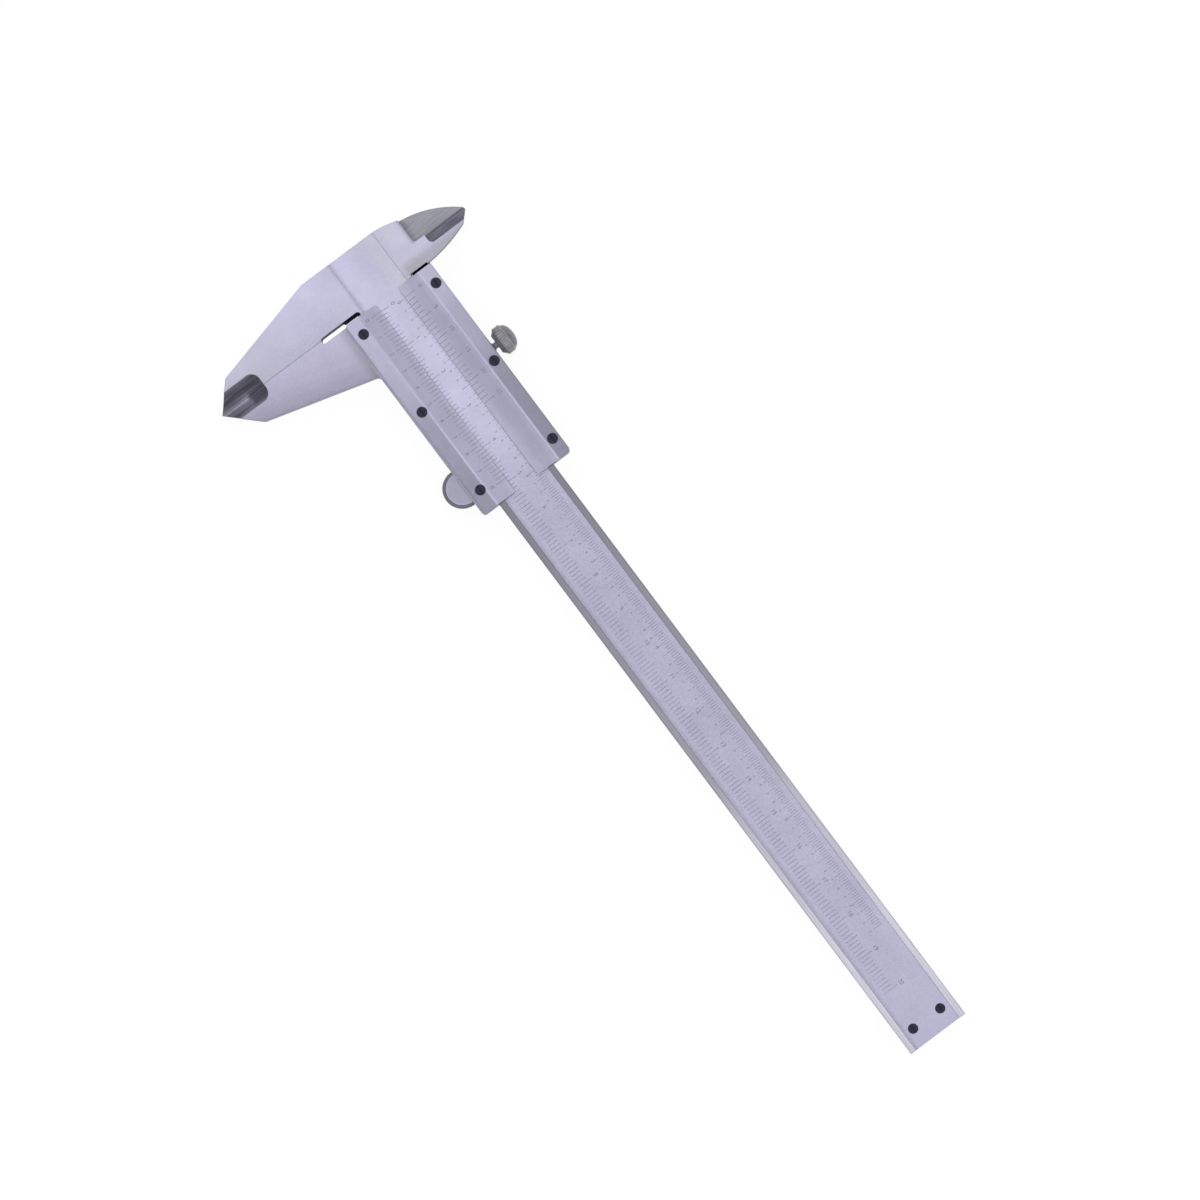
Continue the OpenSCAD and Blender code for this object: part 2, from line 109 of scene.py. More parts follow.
# Driving places on the forgings and plates, in mm
STRIP_Z = FRONT_Z - 0.25
RAIL_Y = 6.4
TIP_HOLLOW_Y = -35.4
INNER_EDGE_X = -5.5
INNER_BEVEL_Y = 16.0
SHOULDER_Y = 12.95
METRIC_BEVEL = {"window": -3.1, "crest": -8.0, "edge_z": WALL_TOP_Z + 0.35}
INCH_BEVEL = {"window": 3.6, "crest": 9.4, "edge_z": WALL_TOP_Z + 0.35}
CREST_GLINT = 0.45

# Scales: zero lines, feet of the lines and middles of the numerals, in mm
INCH = 25.4
METRIC_ZERO_X = 2.9
INCH_ZERO_X = 3.7
METRIC_FOOT_Y = -4.6
METRIC_NUMERAL_Y = 0.35
INCH_FOOT_Y = 5.0
INCH_NUMERAL_Y = 1.7
INK_RISE = 0.006 * MM
# Divisions in a centimetre, an inch and a tenth of one, and between the verniers' numerals
CENTIMETRE_PARTS = 10
INCH_PARTS = 40
TENTH_PARTS = 4
VERNIER_PARTS = 5
# Each pair is a count of divisions and how much longer, in mm, every line at that count is.
# The first pair that fits a line is the one that holds.
METRIC_LONGER = ((CENTIMETRE_PARTS, 1.1), (5, 0.55))
INCH_LONGER = ((INCH_PARTS, 1.0), (TENTH_PARTS, 0.7), (2, 0.35))
METRIC_VERNIER_LONGER = ((VERNIER_PARTS, 0.8),)
INCH_VERNIER_LONGER = ((VERNIER_PARTS, 0.9),)
# 49 mm in 50 divisions, and 1.225 in in 25. Each numeral's middle is so many mm up the slope.
METRIC_VERNIER_DIVISIONS = 50
METRIC_VERNIER_STEP = 49 / METRIC_VERNIER_DIVISIONS
METRIC_VERNIER_NUMERAL = 4.0
INCH_VERNIER_DIVISIONS = 25
INCH_VERNIER_STEP = 1.225 * INCH / INCH_VERNIER_DIVISIONS
INCH_VERNIER_NUMERAL = 4.6
# The plain lines of the beam's metric scale are this much longer than the verniers' shortest.
METRIC_PLAIN_EXTRA = 0.6
INCH_PLAIN = 1.7
INCH_LINE_SHARE = 0.8
TENTH_NUMERAL_SHARE = 0.62

# Painted reflection along the beam and the plates: stops of (place in mm, brightness)
STRIP_TONES = ((40, 1.0), (60, 0.85), (84, 0.81), (115, 0.82), (160, 0.87), (218, 0.93))
RAIL_TONES = ((58, 0.197), (100, 0.25), (132, 0.29), (160, 0.475), (200, 0.615))
INCH_MARGIN_TONES = ((3, 0.90), (20, 0.77), (33, 0.57), (55, 0.53))
METRIC_MARGIN_TONES = ((3, 0.92), (20, 0.84), (34, 0.63), (55, 0.58))
INCH_BEVEL_TONES = ((8, 1.0), (26, 0.92), (46, 0.97))
METRIC_BEVEL_TONES = ((8, 0.90), (28, 0.92), (48, 0.99))

# Painted highlight and shade across the plates, from the lower margin over the window to the upper one
PLATE_TONES_ACROSS = (
    (-12, 1.0), (-9.6, 1.0), (-8.6, 1.03), (-7.2, 1.02), (-4.2, 1.02), (-3.3, 1.14), (3.4, 1.27),
    (4.2, 1.13), (5.2, 1.06), (6.2, 0.99), (8.0, 0.97), (9.0, 1.04), (10.0, 0.99), (12.5, 0.98))

# Painted light and shade on the jaws. The moving jaw's stops go by the distance to its sloping back edge.
FIXED_JAW_TONES = ((-11, 1.07), (-6, 1.03), (-4, 0.99), (-2, 0.93), (-0.4, 0.91))
JAW_BACK = (1.0, -0.2794, 0.0)
JAW_BACK_EDGE = 18.34
MOVING_JAW_TONES = (
    (JAW_BACK_EDGE - 13, 1.20), (JAW_BACK_EDGE - 10, 1.13), (JAW_BACK_EDGE - 6, 1.03),
    (JAW_BACK_EDGE - 4, 0.96), (JAW_BACK_EDGE - 2, 0.88), (JAW_BACK_EDGE, 0.80))

# Painted light and shade in the ground hollow of the two tips, across it and down it
TIP_TONES = (
    (-4.1, 1.7), (-3.4, 1.35), (-2.6, 0.9), (-1.8, 0.58), (-0.8, 0.76), (0.2, 0.97), (1.4, 1.15),
    (2.2, 1.05), (2.8, 1.3), (3.3, 1.7))
TIP_TONES_DOWN = (
    (-46, 1.25), (-42.5, 1.5), (-40.5, 1.75), (-39.2, 0.78), (-36.5, 0.72), (-35.4, 0.85))
TIP_HOLLOW = Patch((-4.1, None, BACK_Z + 0.02), (3.3, TIP_HOLLOW_Y, FRONT_Z - 0.02), 0.02)
TIP_BAND = Patch((0.0, None, None), (0.7, TIP_HOLLOW_Y - 5.0, None), 0.5)
TIP_MIDDLE = Patch((-0.8, None, None), (2.6, None, None), 0.8)

# The beam's ground rails and knife edge, and painted shade in its slot and gap
UPPER_RAIL = Patch((0.6, RAIL_Y, FRONT_Z - 0.12), OPEN, 0.03)
LOWER_RAIL = Patch((0.6, None, FRONT_Z - 0.12), (None, -RAIL_Y, None), 0.03)
FIXED_KNIFE = Patch(
    (INNER_EDGE_X, INNER_BEVEL_Y, None), (INNER_EDGE_X + 2.7, None, FRONT_Z - 0.03), 0.02)
ROOT_SLOT = Patch((-0.6, -18.6, None), (1.1, -7.1, FRONT_Z - 0.04), 0.01)
ROOT_GAP = Patch((-0.1, 7.6, 3.0), (0.5, 12.7, FRONT_Z - 0.04), 0.01)
JAW_SEAM = Patch((-0.16, TIP_HOLLOW_Y, FRONT_Z - 0.5), (0.1, -18.4, None), 0.08)

# Painted light and shade in soft patches on the beam and head
STRIP_STEP = Patch((None, -7.0, None), (None, -5.7, None), 0.35, grey(0.87))
FIXED_JAW = Patch(OPEN, (None, -12.0, None), 4.0)
CHANNEL_END = Patch(OPEN, (2.0, RAIL_Y, None), 0.15)
CHANNEL_RISE = Patch((None, 3.6, None), OPEN, 2.2, (1.02, 1.03, 1.00, 1.0))
HEAD_PATCHES = (
    # painted shade beside the inside jaws' root, painted light on the head's left corner and painted shade
    # at the fixed blade's shoulder
    Patch((-2.6, 7.0, None), (1.5, None, None), 1.4, (0.75, 0.76, 0.68, 1.0)),
    Patch((None, 8.0, None), (-6.5, 11.8, None), 1.0, grey(1.06)),
    Patch((None, 12.5, None), (INNER_EDGE_X, 13.5, None), 0.4, grey(0.70)),
    # painted shade on the upper half of the head and the lower half of the jaw, painted light on the lower
    # half of the channel
    Patch((None, 2.5, None), (0.6, SHOULDER_Y, None), 2.5, (0.99, 0.99, 0.94, 1.0)),
    Patch(OPEN, (None, -26.0, None), 8.0, (0.95, 0.96, 0.91, 1.0)),
    Patch((None, -RAIL_Y, None), (12.0, -1.5, None), 2.0, grey(1.08)),
)

# Soft patches on the slider: painted shade on the moving jaw, under the frame, on the lower step, in the gap
# and at the blade's foot, and the moving blade's ground flat
MOVING_JAW = Patch((None, None, 5.0), (None, -12.6, None), 0.2, (0.79, 0.78, 0.78, 1.0))
UNDER_FRAME = Patch((None, -14.0, None), OPEN, 1.0, grey(0.84))
LOWER_STEP = Patch((1.0, -12.6, 5.45), (56.0, -11.8, None), 0.05, (0.78, 0.78, 0.72, 1.0))
SLIDER_GAP = Patch((-3.0, 7.9, 3.0), (1.2, 12.7, 3.85), 0.02)
MOVING_BLADE = Patch((None, SHOULDER_Y, 2.1), (INNER_EDGE_X + 0.05, None, None), 0.05)
BLADE_FOOT = Patch(OPEN, (None, SHOULDER_Y + 1.2, None), 0.6, grey(0.78))

# The picture: its width and middle in mm, its turn in degrees and the lens in mm
PICTURE_WIDTH = 283.0
PICTURE_MIDDLE = (88.27, -2.46)
PICTURE_TURN = 53.15
LENS = 76.3

# The stage, in metres: its middle, the paper's reach, its sweep into the wall and the wall's top
STAGE_MIDDLE_X = 0.088
PAPER_REACH = 4.0
PAPER_SWEEP = 0.8
PAPER_TOP = 1.6
PAPER_DROP = 0.0002
# The strength of the paper's own glow, and its share in what the camera and metal see
PAPER_GLOW = 1.045
PAPER_GLOW_SHARE = 0.88
SKY = (0.66, 0.66, 0.68, 1.0)
# Each softbox has a name, a place, a width in metres, a power in watts and a colour.
SOFTBOXES = (
    ("overhead_softbox", (STAGE_MIDDLE_X, 0.0, 2.3), 1.5, 5.2, (1.0, 0.99, 1.0)),
    ("side_softbox", (-1.3, 1.2, 1.5), 0.9, 4.0, (1.0, 1.0, 1.0)),
)


# Settings

class CaliperFinish(PropertyGroup):
    """Colours of the caliper's finishes."""
    satin: FloatVectorProperty(
        name="Satin chrome", description="Blasted and chromed faces of the beam and the slider",
        subtype="COLOR", size=3, min=0, max=1, default=linear("CDCBE2"))
    vernier: FloatVectorProperty(
        name="Vernier plates", description="Chromed faces of the two graduated plates",
        subtype="COLOR", size=3, min=0, max=1, default=linear("CAC9DF"))
    ground: FloatVectorProperty(
        name="Ground steel", description="Bare ground knife edges of the jaws",
        subtype="COLOR", size=3, min=0, max=1, default=linear("7C7A88"))
    black: FloatVectorProperty(
        name="Black oxide", description="Blackened small screws",
        subtype="COLOR", size=3, min=0, max=1, default=linear("211E36"))
    nickel: FloatVectorProperty(
        name="Nickel plate", description="Knurled lock screw",
        subtype="COLOR", size=3, min=0, max=1, default=linear("A6A6AB"))
    roller: FloatVectorProperty(
        name="Roller steel", description="Thumb roller",
        subtype="COLOR", size=3, min=0, max=1, default=linear("A3A2B3"))
    bronze: FloatVectorProperty(
        name="Bronze", description="Rolled gib spring",
        subtype="COLOR", size=3, min=0, max=1, default=linear("C08E5C"))
    ink: FloatVectorProperty(
        name="Scale filling", description="Dark filling of the etched lines and numerals",
        subtype="COLOR", size=3, min=0, max=1, default=linear("6B6A7C"))


class CaliperScale(PropertyGroup):
    """Sizes of the graduations."""
    line_width: FloatProperty(
        name="Line width", description="Width of an etched line", subtype="DISTANCE", unit="LENGTH",
        default=0.11 * MM)
    short: FloatProperty(
        name="Short line", description="Length of a single division's line", subtype="DISTANCE",
        unit="LENGTH", default=2.1 * MM)
    numeral: FloatProperty(
        name="Numeral height", description="Height of the scale's numerals", subtype="DISTANCE",
        unit="LENGTH", default=1.45 * MM)
    metric_length: IntProperty(
        name="Metric scale", description="Divisions of the beam's metric scale, one millimetre each",
        default=200)
    inch_length: IntProperty(
        name="Inch scale", description="Divisions of the beam's inch scale, a fortieth of an inch each",
        default=292)


class CaliperTurned(PropertyGroup):
    """Sizes of the knurled pieces."""
    lock_teeth: IntProperty(
        name="Lock screw teeth", description="Ridges round the lock screw's head", default=34)
    roller_teeth: IntProperty(
        name="Roller teeth", description="Ridges round the thumb roller", default=56)
    knurl_depth: FloatProperty(
        name="Knurl depth", description="Depth of the knurled grooves", subtype="DISTANCE",
        unit="LENGTH", default=0.16 * MM)
    thread_pitch: FloatProperty(
        name="Thread pitch", description="Pitch of the lock screw's thread", subtype="DISTANCE",
        unit="LENGTH", default=0.45 * MM)


# Shader helpers

# Settings of the Mix node: one tint over another, one times another, and plain values
COVER = {"data_type": "RGBA", "blend_type": "MIX"}
MULTIPLY = {"data_type": "RGBA", "blend_type": "MULTIPLY"}
VALUE = {"data_type": "FLOAT"}


def feed(tree, socket, value):
    """Sets a socket, or links it where the value comes from another node."""
    if isinstance(value, bpy.types.NodeSocket):
        tree.links.new(value, socket)
    else:
        socket.default_value = value


def add_node(tree, kind, settings=None, inputs=None):
    """Adds one node with its settings, and sets or links its inputs."""
    made = tree.nodes.new(kind)
    for key, value in (settings or {}).items():
        setattr(made, key, value)
    for key, value in (inputs or {}).items():
        feed(tree, made.inputs[key], value)
    return made


def new_material(name):
    """An empty node material, its tree, its shader and the places on the piece."""
    material = bpy.data.materials.new(name)
    material.use_nodes = True
    tree = material.node_tree
    tree.nodes.clear()
    shader = add_node(tree, "ShaderNodeBsdfPrincipled")
    add_node(tree, "ShaderNodeOutputMaterial", inputs={"Surface": shader.outputs["BSDF"]})
    place = add_node(tree, "ShaderNodeTexCoord").outputs["Object"]
    return material, tree, shader, place


def inside(tree, place, patch, mask=None):
    """A mask that is 1 inside a patch, and inside the mask given as well."""
    axes = add_node(tree, "ShaderNodeSeparateXYZ", inputs={"Vector": place})
    for axis, low, high in zip("XYZ", patch.low, patch.high):
        for limit, sign in ((low, 1), (high, -1)):
            if limit is None:
                continue
            edge = add_node(
                tree, "ShaderNodeMapRange", {"clamp": True, "interpolation_type": "SMOOTHSTEP"},
                {"Value": axes.outputs[axis], "From Min": (limit - sign * patch.soft) * MM,
                 "From Max": (limit + sign * patch.soft) * MM}).outputs["Result"]
            if mask is None:
                mask = edge
            else:
                mask = add_node(tree, "ShaderNodeMath", {"operation": "MULTIPLY"},
                                {0: mask, 1: edge}).outputs[0]
    return mask


def inside_ring(tree, place, centre, inner, outer, soft=0.06):
    """A mask that is 1 from inner to outer mm off a centre. An inner below 0 makes it a disc."""
    distance = add_node(tree, "ShaderNodeVectorMath", {"operation": "DISTANCE"},
                        {0: place, 1: centre}).outputs["Value"]
    rise = add_node(tree, "ShaderNodeMapRange", {"clamp": True},
                    {"Value": distance, "From Min": (inner - soft) * MM, "From Max": (inner + soft) * MM})
    fall = add_node(tree, "ShaderNodeMapRange", {"clamp": True},
                    {"Value": distance, "From Min": (outer + soft) * MM, "From Max": (outer - soft) * MM})
    return add_node(tree, "ShaderNodeMath", {"operation": "MULTIPLY"},
                    {0: rise.outputs["Result"], 1: fall.outputs["Result"]}).outputs[0]


def grain(tree, place, size_mm, detail=3.0, stretch=(1, 1, 1)):
    """Noise from 0 to 1 with features about size_mm wide, drawn out along an axis by stretch."""
    scaled = add_node(tree, "ShaderNodeMapping", {"vector_type": "POINT"},
                      {"Vector": place, "Scale": tuple(1 / s for s in stretch)}).outputs["Vector"]
    noise = add_node(tree, "ShaderNodeTexNoise", {"noise_dimensions": "3D"},
                     {"Vector": scaled, "Scale": 1 / (size_mm * MM), "Detail": detail,
                      "Roughness": 0.55}).outputs["Fac"]
    # Noise keeps near its middle, so its middle range is widened.
    return add_node(tree, "ShaderNodeMapRange", {"clamp": True},
                    {"Value": noise, "From Min": 0.3, "From Max": 0.7}).outputs["Result"]


def shade(tree, place, tint, *patches):
    """Multiplies a tint by the tone of each patch, inside that patch."""
    for patch in patches:
        tint = add_node(tree, "ShaderNodeMix", MULTIPLY,
                        {"Factor": inside(tree, place, patch), 6: tint, 7: patch.tone}).outputs[2]
    return tint


def shade_along(tree, place, tint, stops, direction=LENGTHWISE, mask=1.0):
    """Multiplies a tint, inside a mask, by stops of (distance in mm, brightness) in a direction."""
    along = add_node(tree, "ShaderNodeVectorMath", {"operation": "DOT_PRODUCT"},
                     {0: place, 1: direction}).outputs["Value"]
    first, last = stops[0][0], stops[-1][0]
    run = add_node(tree, "ShaderNodeMapRange", {"clamp": True},
                   {"Value": along, "From Min": first * MM, "From Max": last * MM}).outputs["Result"]
    ramp = add_node(tree, "ShaderNodeValToRGB", inputs={"Fac": run})
    ramp.color_ramp.interpolation = "EASE"
    marks = ramp.color_ramp.elements
    while len(marks) < len(stops):
        marks.new(0.5)
    for mark, (distance, tone) in zip(marks, stops):
        mark.position = (distance - first) / (last - first)
        mark.color = grey(tone)
    return add_node(tree, "ShaderNodeMix", MULTIPLY,
                    {"Factor": mask, 6: tint, 7: ramp.outputs["Color"]}).outputs[2]


def lay_over(tree, mask, under, over):
    """Lays one finish over another where the mask is 1: its tint, then its roughness and height."""
    tint = add_node(tree, "ShaderNodeMix", COVER, {"Factor": mask, 6: under[0], 7: over[0]}).outputs[2]
    values = [add_node(tree, "ShaderNodeMix", VALUE, {"Factor": mask, 2: low, 3: high}).outputs[0]
              for low, high in zip(under[1:], over[1:])]
    return tint, *values


def connect(tree, shader, surface, metal, relief_mm, strength, edge_mm=0.0):
    """Links tint, roughness and height to a shader as metal, over edges rounded by edge_mm."""
    tint, rough, height = surface
    feed(tree, shader.inputs["Metallic"], metal)
    feed(tree, shader.inputs["Base Color"], tint)
    feed(tree, shader.inputs["Roughness"], rough)
    inputs = {"Height": height, "Strength": strength, "Distance": relief_mm * MM}
    if edge_mm:
        rounded = add_node(tree, "ShaderNodeBevel", {"samples": 4}, {"Radius": edge_mm * MM})
        inputs["Normal"] = rounded.outputs["Normal"]
    bump = add_node(tree, "ShaderNodeBump", inputs=inputs)
    feed(tree, shader.inputs["Normal"], bump.outputs["Normal"])


# Mesh helpers

# Points nearer than MERGE become one. The knurl's ridges fall away by a power of RIDGE_CURVE.
MERGE = 0.0001 * MM
POINTS_PER_TOOTH = 6
RIDGE_CURVE = 1.6


def longer(count, steps):
    """How much longer than a plain line the one at this count is, in mm."""
    return next((extra for every, extra in steps if count % every == 0), 0.0)


def finish_mesh(name, bm, material, body, smooth_angle=None):
    """Turns a bmesh into a piece that rides on a body."""
    bmesh.ops.recalc_face_normals(bm, faces=bm.faces)
    mesh = bpy.data.meshes.new(name)
    bm.to_mesh(mesh)
    bm.free()
    mesh.materials.append(material)
    piece = bpy.data.objects.new(name, mesh)
    bpy.context.scene.collection.objects.link(piece)
    if smooth_angle is not None:
        mesh.shade_smooth()
        mesh.set_sharp_from_angle(angle=math.radians(smooth_angle))
    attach(piece, body)
    return piece


def add_bar(bm, foot, reach, width, normal, height):
    """A thin bar from foot along reach, of the given width, standing height off the face."""
    side = normal.cross(reach).normalized() * width / 2
    lift = normal * height
    low = [foot - side, foot + side, foot + reach + side, foot + reach - side]
    bottom = [bm.verts.new(p - lift) for p in low]
    top = [bm.verts.new(p + lift) for p in low]
    bm.faces.new(top)
    for i in range(4):
        j = (i + 1) % 4
        bm.faces.new((bottom[i], bottom[j], top[j], top[i]))


def add_numeral(bm, text, size, place):
    """A number in the built-in font, laid flat on a face by the matrix place."""
    curve = bpy.data.curves.new("numeral", "FONT")
    curve.body = text
    curve.size = size
    curve.align_x = "CENTER"
    curve.align_y = "CENTER"
    curve.extrude = INK_RISE
    curve.resolution_u = 3
    holder = bpy.data.objects.new("numeral", curve)
    mesh = bpy.data.meshes.new_from_object(holder)
    mesh.transform(place)
    bm.from_mesh(mesh)
    bpy.data.objects.remove(holder)
    bpy.data.curves.remove(curve)
    bpy.data.meshes.remove(mesh)


def revolve(bm, profile, segments, teeth=0, depth=0.0, pitch=0.0, thread_depth=0.0):
    """Spins (radius, height, knurl share, thread share) about Z, with ridges and a thread."""
    rings = []
    for radius, height, knurl, thread in profile:
        ring = []
        for k in range(segments):
            turn = k / segments
            r = radius
            if knurl and teeth:
                phase = (turn * teeth) % 1.0
                r -= knurl * depth * abs(2 * phase - 1) ** RIDGE_CURVE
            if thread and pitch:
                phase = (height / pitch + turn) % 1.0
                r -= thread * thread_depth * abs(2 * phase - 1)
            angle = turn * math.tau
            ring.append(bm.verts.new((r * math.cos(angle), r * math.sin(angle), height)))
        rings.append(ring)
    for lower, upper in zip(rings, rings[1:]):
        for k in range(segments):
            j = (k + 1) % segments
            bm.faces.new((lower[k], lower[j], upper[j], upper[k]))
    bmesh.ops.remove_doubles(bm, verts=bm.verts, dist=MERGE)


def bevel_frame(bevel):
    """Foot, direction away from the window and normal of a plate's sloping face, in metres."""
    foot = Vector((0, bevel["window"], bevel["edge_z"])) * MM
    crest = Vector((0, bevel["crest"], PLATE_FRONT_Z)) * MM
    away = (crest - foot).normalized()
    normal = Vector((1, 0, 0)).cross(away)
    if normal.z < 0:
        normal = -normal
    return foot, away, normal


def face_matrix(origin, up, normal):
    """Lays text on a face: its baseline along X and its top towards up."""
    across = up.cross(normal)
    rows = Matrix((across, up, normal)).transposed()
    return Matrix.Translation(origin) @ rows.to_4x4()


# Materials

# How rough each finish is. The blasting lies between two values.
BLASTED_ROUGH = (0.40, 0.52)
RAIL_ROUGH = 0.24
GROUND_ROUGH = 0.34
BLADE_ROUGH = 0.42
GAP_ROUGH = 0.6

# Shares of the finish's own colour in its dark and light specks or streaks, with how much brighter
# the fixed knife edge is drawn as painted light, and the painted highlight band where the tips meet
CHROME_DARK = 0.89
CHROME_LIGHT = 1.05
GROUND_DARK = 0.34
GROUND_LIGHT = 0.80
KNIFE_BRIGHTER = 1.65
BAND_LIGHT = 1.3

# How strongly the rails' lines, the jaws' seam and the plates' brushing show in the tint
LINES_SHOW = 0.25
SEAM_SHOWS = 0.3
BRUSHING_SHOWS = 0.10

# Painted shade on the walls and round the screws, and how far the shade round a screw reaches beyond its
# head, in mm
WALL_SHADE = grey(0.42)
SCREW_RIM_SHADE = (0.30, 0.30, 0.34, 1.0)
SCREW_SHADE_REACH = 0.14

# Real grinding lines and brushing are too fine to show, so they are drawn coarser, in mm.
RAIL_LINES = {"size_mm": 0.35, "detail": 2.0, "stretch": (30, 1, 1)}
KNIFE_STREAKS = {"size_mm": 0.5, "detail": 3.0, "stretch": (1, 14, 1)}
PLATE_BRUSHING = {"size_mm": 0.3, "detail": 3.0, "stretch": (24, 1, 1)}


def blasted_chrome(tree, place, colour):
    """Satin chrome's tint, roughness and height: fine blasting under faint handling marks."""
    # The real blasting is too fine to show here, so its speck is drawn about half a mm wide.
    cloud = grain(tree, place, size_mm=9.0, detail=2.0)
    speck = grain(tree, place, size_mm=0.55, detail=2.0)
    wear = add_node(tree, "ShaderNodeMix", VALUE, {"Factor": 0.45, 2: cloud, 3: speck}).outputs[0]
    tint = add_node(tree, "ShaderNodeMix", COVER,
                    {"Factor": wear, 6: opaque(colour, CHROME_DARK),
                     7: opaque(colour, CHROME_LIGHT)}).outputs[2]
    low, high = BLASTED_ROUGH
    rough = add_node(tree, "ShaderNodeMix", VALUE, {"Factor": speck, 2: low, 3: high}).outputs[0]
    return tint, rough, speck


def milled_walls(tree, tint):
    """Darkens the walls at right angles to the flat faces: painted shade on the sides."""
    facing = add_node(tree, "ShaderNodeTexCoord").outputs["Normal"]
    axes = add_node(tree, "ShaderNodeSeparateXYZ", inputs={"Vector": facing})
    upright = add_node(tree, "ShaderNodeMath", {"operation": "ABSOLUTE"}, {0: axes.outputs["Z"]}).outputs[0]
    wall = add_node(tree, "ShaderNodeMapRange", {"clamp": True},
                    {"Value": upright, "From Min": 0.5, "From Max": 0.2}).outputs["Result"]
    return add_node(tree, "ShaderNodeMix", MULTIPLY, {"Factor": wall, 6: tint, 7: WALL_SHADE}).outputs[2]


def hollow_tip(tree, place, streaks, colour):
    """Bare steel in the tips' hollow: streaks along the cut, painted light and shade across and down it, and
    a painted highlight band where they meet.
    """
    tint = add_node(tree, "ShaderNodeMix", COVER,
                    {"Factor": streaks, 6: opaque(colour, GROUND_DARK),
                     7: opaque(colour, GROUND_LIGHT)}).outputs[2]
    tint = add_node(tree, "ShaderNodeMix", COVER,
                    {"Factor": inside(tree, place, TIP_BAND), 6: tint,
                     7: opaque(colour, BAND_LIGHT)}).outputs[2]
    tint = shade_along(tree, place, tint, TIP_TONES_DOWN, ACROSS, inside(tree, place, TIP_MIDDLE))
    return shade_along(tree, place, tint, TIP_TONES)


def ground_rails(tree, place, lines):
    """Ground steel's tint along the two rails, a painted reflection along their length, with thin darker
    grinding lines.
    """
    tint = shade_along(tree, place, opaque(linear("F5F3FF")), RAIL_TONES)
    faint = add_node(tree, "ShaderNodeMath", {"operation": "MULTIPLY"},
                     {0: lines, 1: LINES_SHOW}).outputs[0]
    return add_node(tree, "ShaderNodeMix", COVER,
                    {"Factor": faint, 6: tint, 7: opaque(linear("77768A"))}).outputs[2]


def satin_beam_material(finish):
    """Hardened tool steel, blasted and satin-chromed, with ground rails and knife edges."""
    # The blasting gives an even pale grey with a violet cast. The rails are ground after it and
    # mirror their surroundings; their look, dark by the slider and bright by the tail, is a painted
    # reflection.
    material, tree, shader, place = new_material("steel_satin_chromed_beam")
    lines = grain(tree, place, **RAIL_LINES)
    streaks = grain(tree, place, **KNIFE_STREAKS)
    tint, rough, height = blasted_chrome(tree, place, finish.satin)
    # Painted reflection along the strip, then painted shade on its lower step.
    tint = shade_along(tree, place, tint, STRIP_TONES)
    tint = shade(tree, place, tint, STRIP_STEP)

    rails = add_node(tree, "ShaderNodeMath", {"operation": "MAXIMUM"},
                     {0: inside(tree, place, UPPER_RAIL), 1: inside(tree, place, LOWER_RAIL)}).outputs[0]
    tint, rough, height = lay_over(tree, rails, (tint, rough, height),
                                   (ground_rails(tree, place, lines), RAIL_ROUGH, lines))

    # Painted light and shade on the head, then painted light in the channel's end.
    tint = shade(tree, place, tint, *HEAD_PATCHES)
    channel = inside(tree, place, CHANNEL_RISE, inside(tree, place, CHANNEL_END))
    tint = add_node(tree, "ShaderNodeMix", MULTIPLY,
                    {"Factor": channel, 6: tint, 7: CHANNEL_RISE.tone}).outputs[2]
    # Painted light and shade across the fixed jaw.
    tint = shade_along(tree, place, tint, FIXED_JAW_TONES, mask=inside(tree, place, FIXED_JAW))
    faint = add_node(tree, "ShaderNodeMath", {"operation": "MULTIPLY"},
                     {0: inside(tree, place, JAW_SEAM), 1: SEAM_SHOWS}).outputs[0]
    tint = add_node(tree, "ShaderNodeMix", COVER,
                    {"Factor": faint, 6: tint, 7: opaque(linear("6C6A78"))}).outputs[2]

    tip = hollow_tip(tree, place, streaks, finish.ground)
    tint, rough, height = lay_over(tree, inside(tree, place, TIP_HOLLOW), (tint, rough, height),
                                   (tip, GROUND_ROUGH, streaks))
    # The fixed knife edge is the tips' ground steel drawn brighter: painted light.
    edge = add_node(tree, "ShaderNodeMix", COVER,
                    {"Factor": streaks, 6: opaque(finish.ground, GROUND_DARK * KNIFE_BRIGHTER),
                     7: opaque(finish.ground, GROUND_LIGHT * KNIFE_BRIGHTER)}).outputs[2]
    tint, rough, height = lay_over(tree, inside(tree, place, FIXED_KNIFE), (tint, rough, height),
                                   (edge, GROUND_ROUGH, streaks))
    # Painted shade on the walls.
    tint = milled_walls(tree, tint)

    # Painted shade in the root slot and the gap.
    gap_shade = add_node(tree, "ShaderNodeMath", {"operation": "MAXIMUM"},
                     {0: inside(tree, place, ROOT_SLOT), 1: inside(tree, place, ROOT_GAP)}).outputs[0]
    tint, rough = lay_over(tree, gap_shade, (tint, rough), (opaque(linear("3A3848")), GAP_ROUGH))
    connect(tree, shader, (tint, rough, height), metal=1.0, relief_mm=0.02, strength=0.35, edge_mm=0.22)
    return material


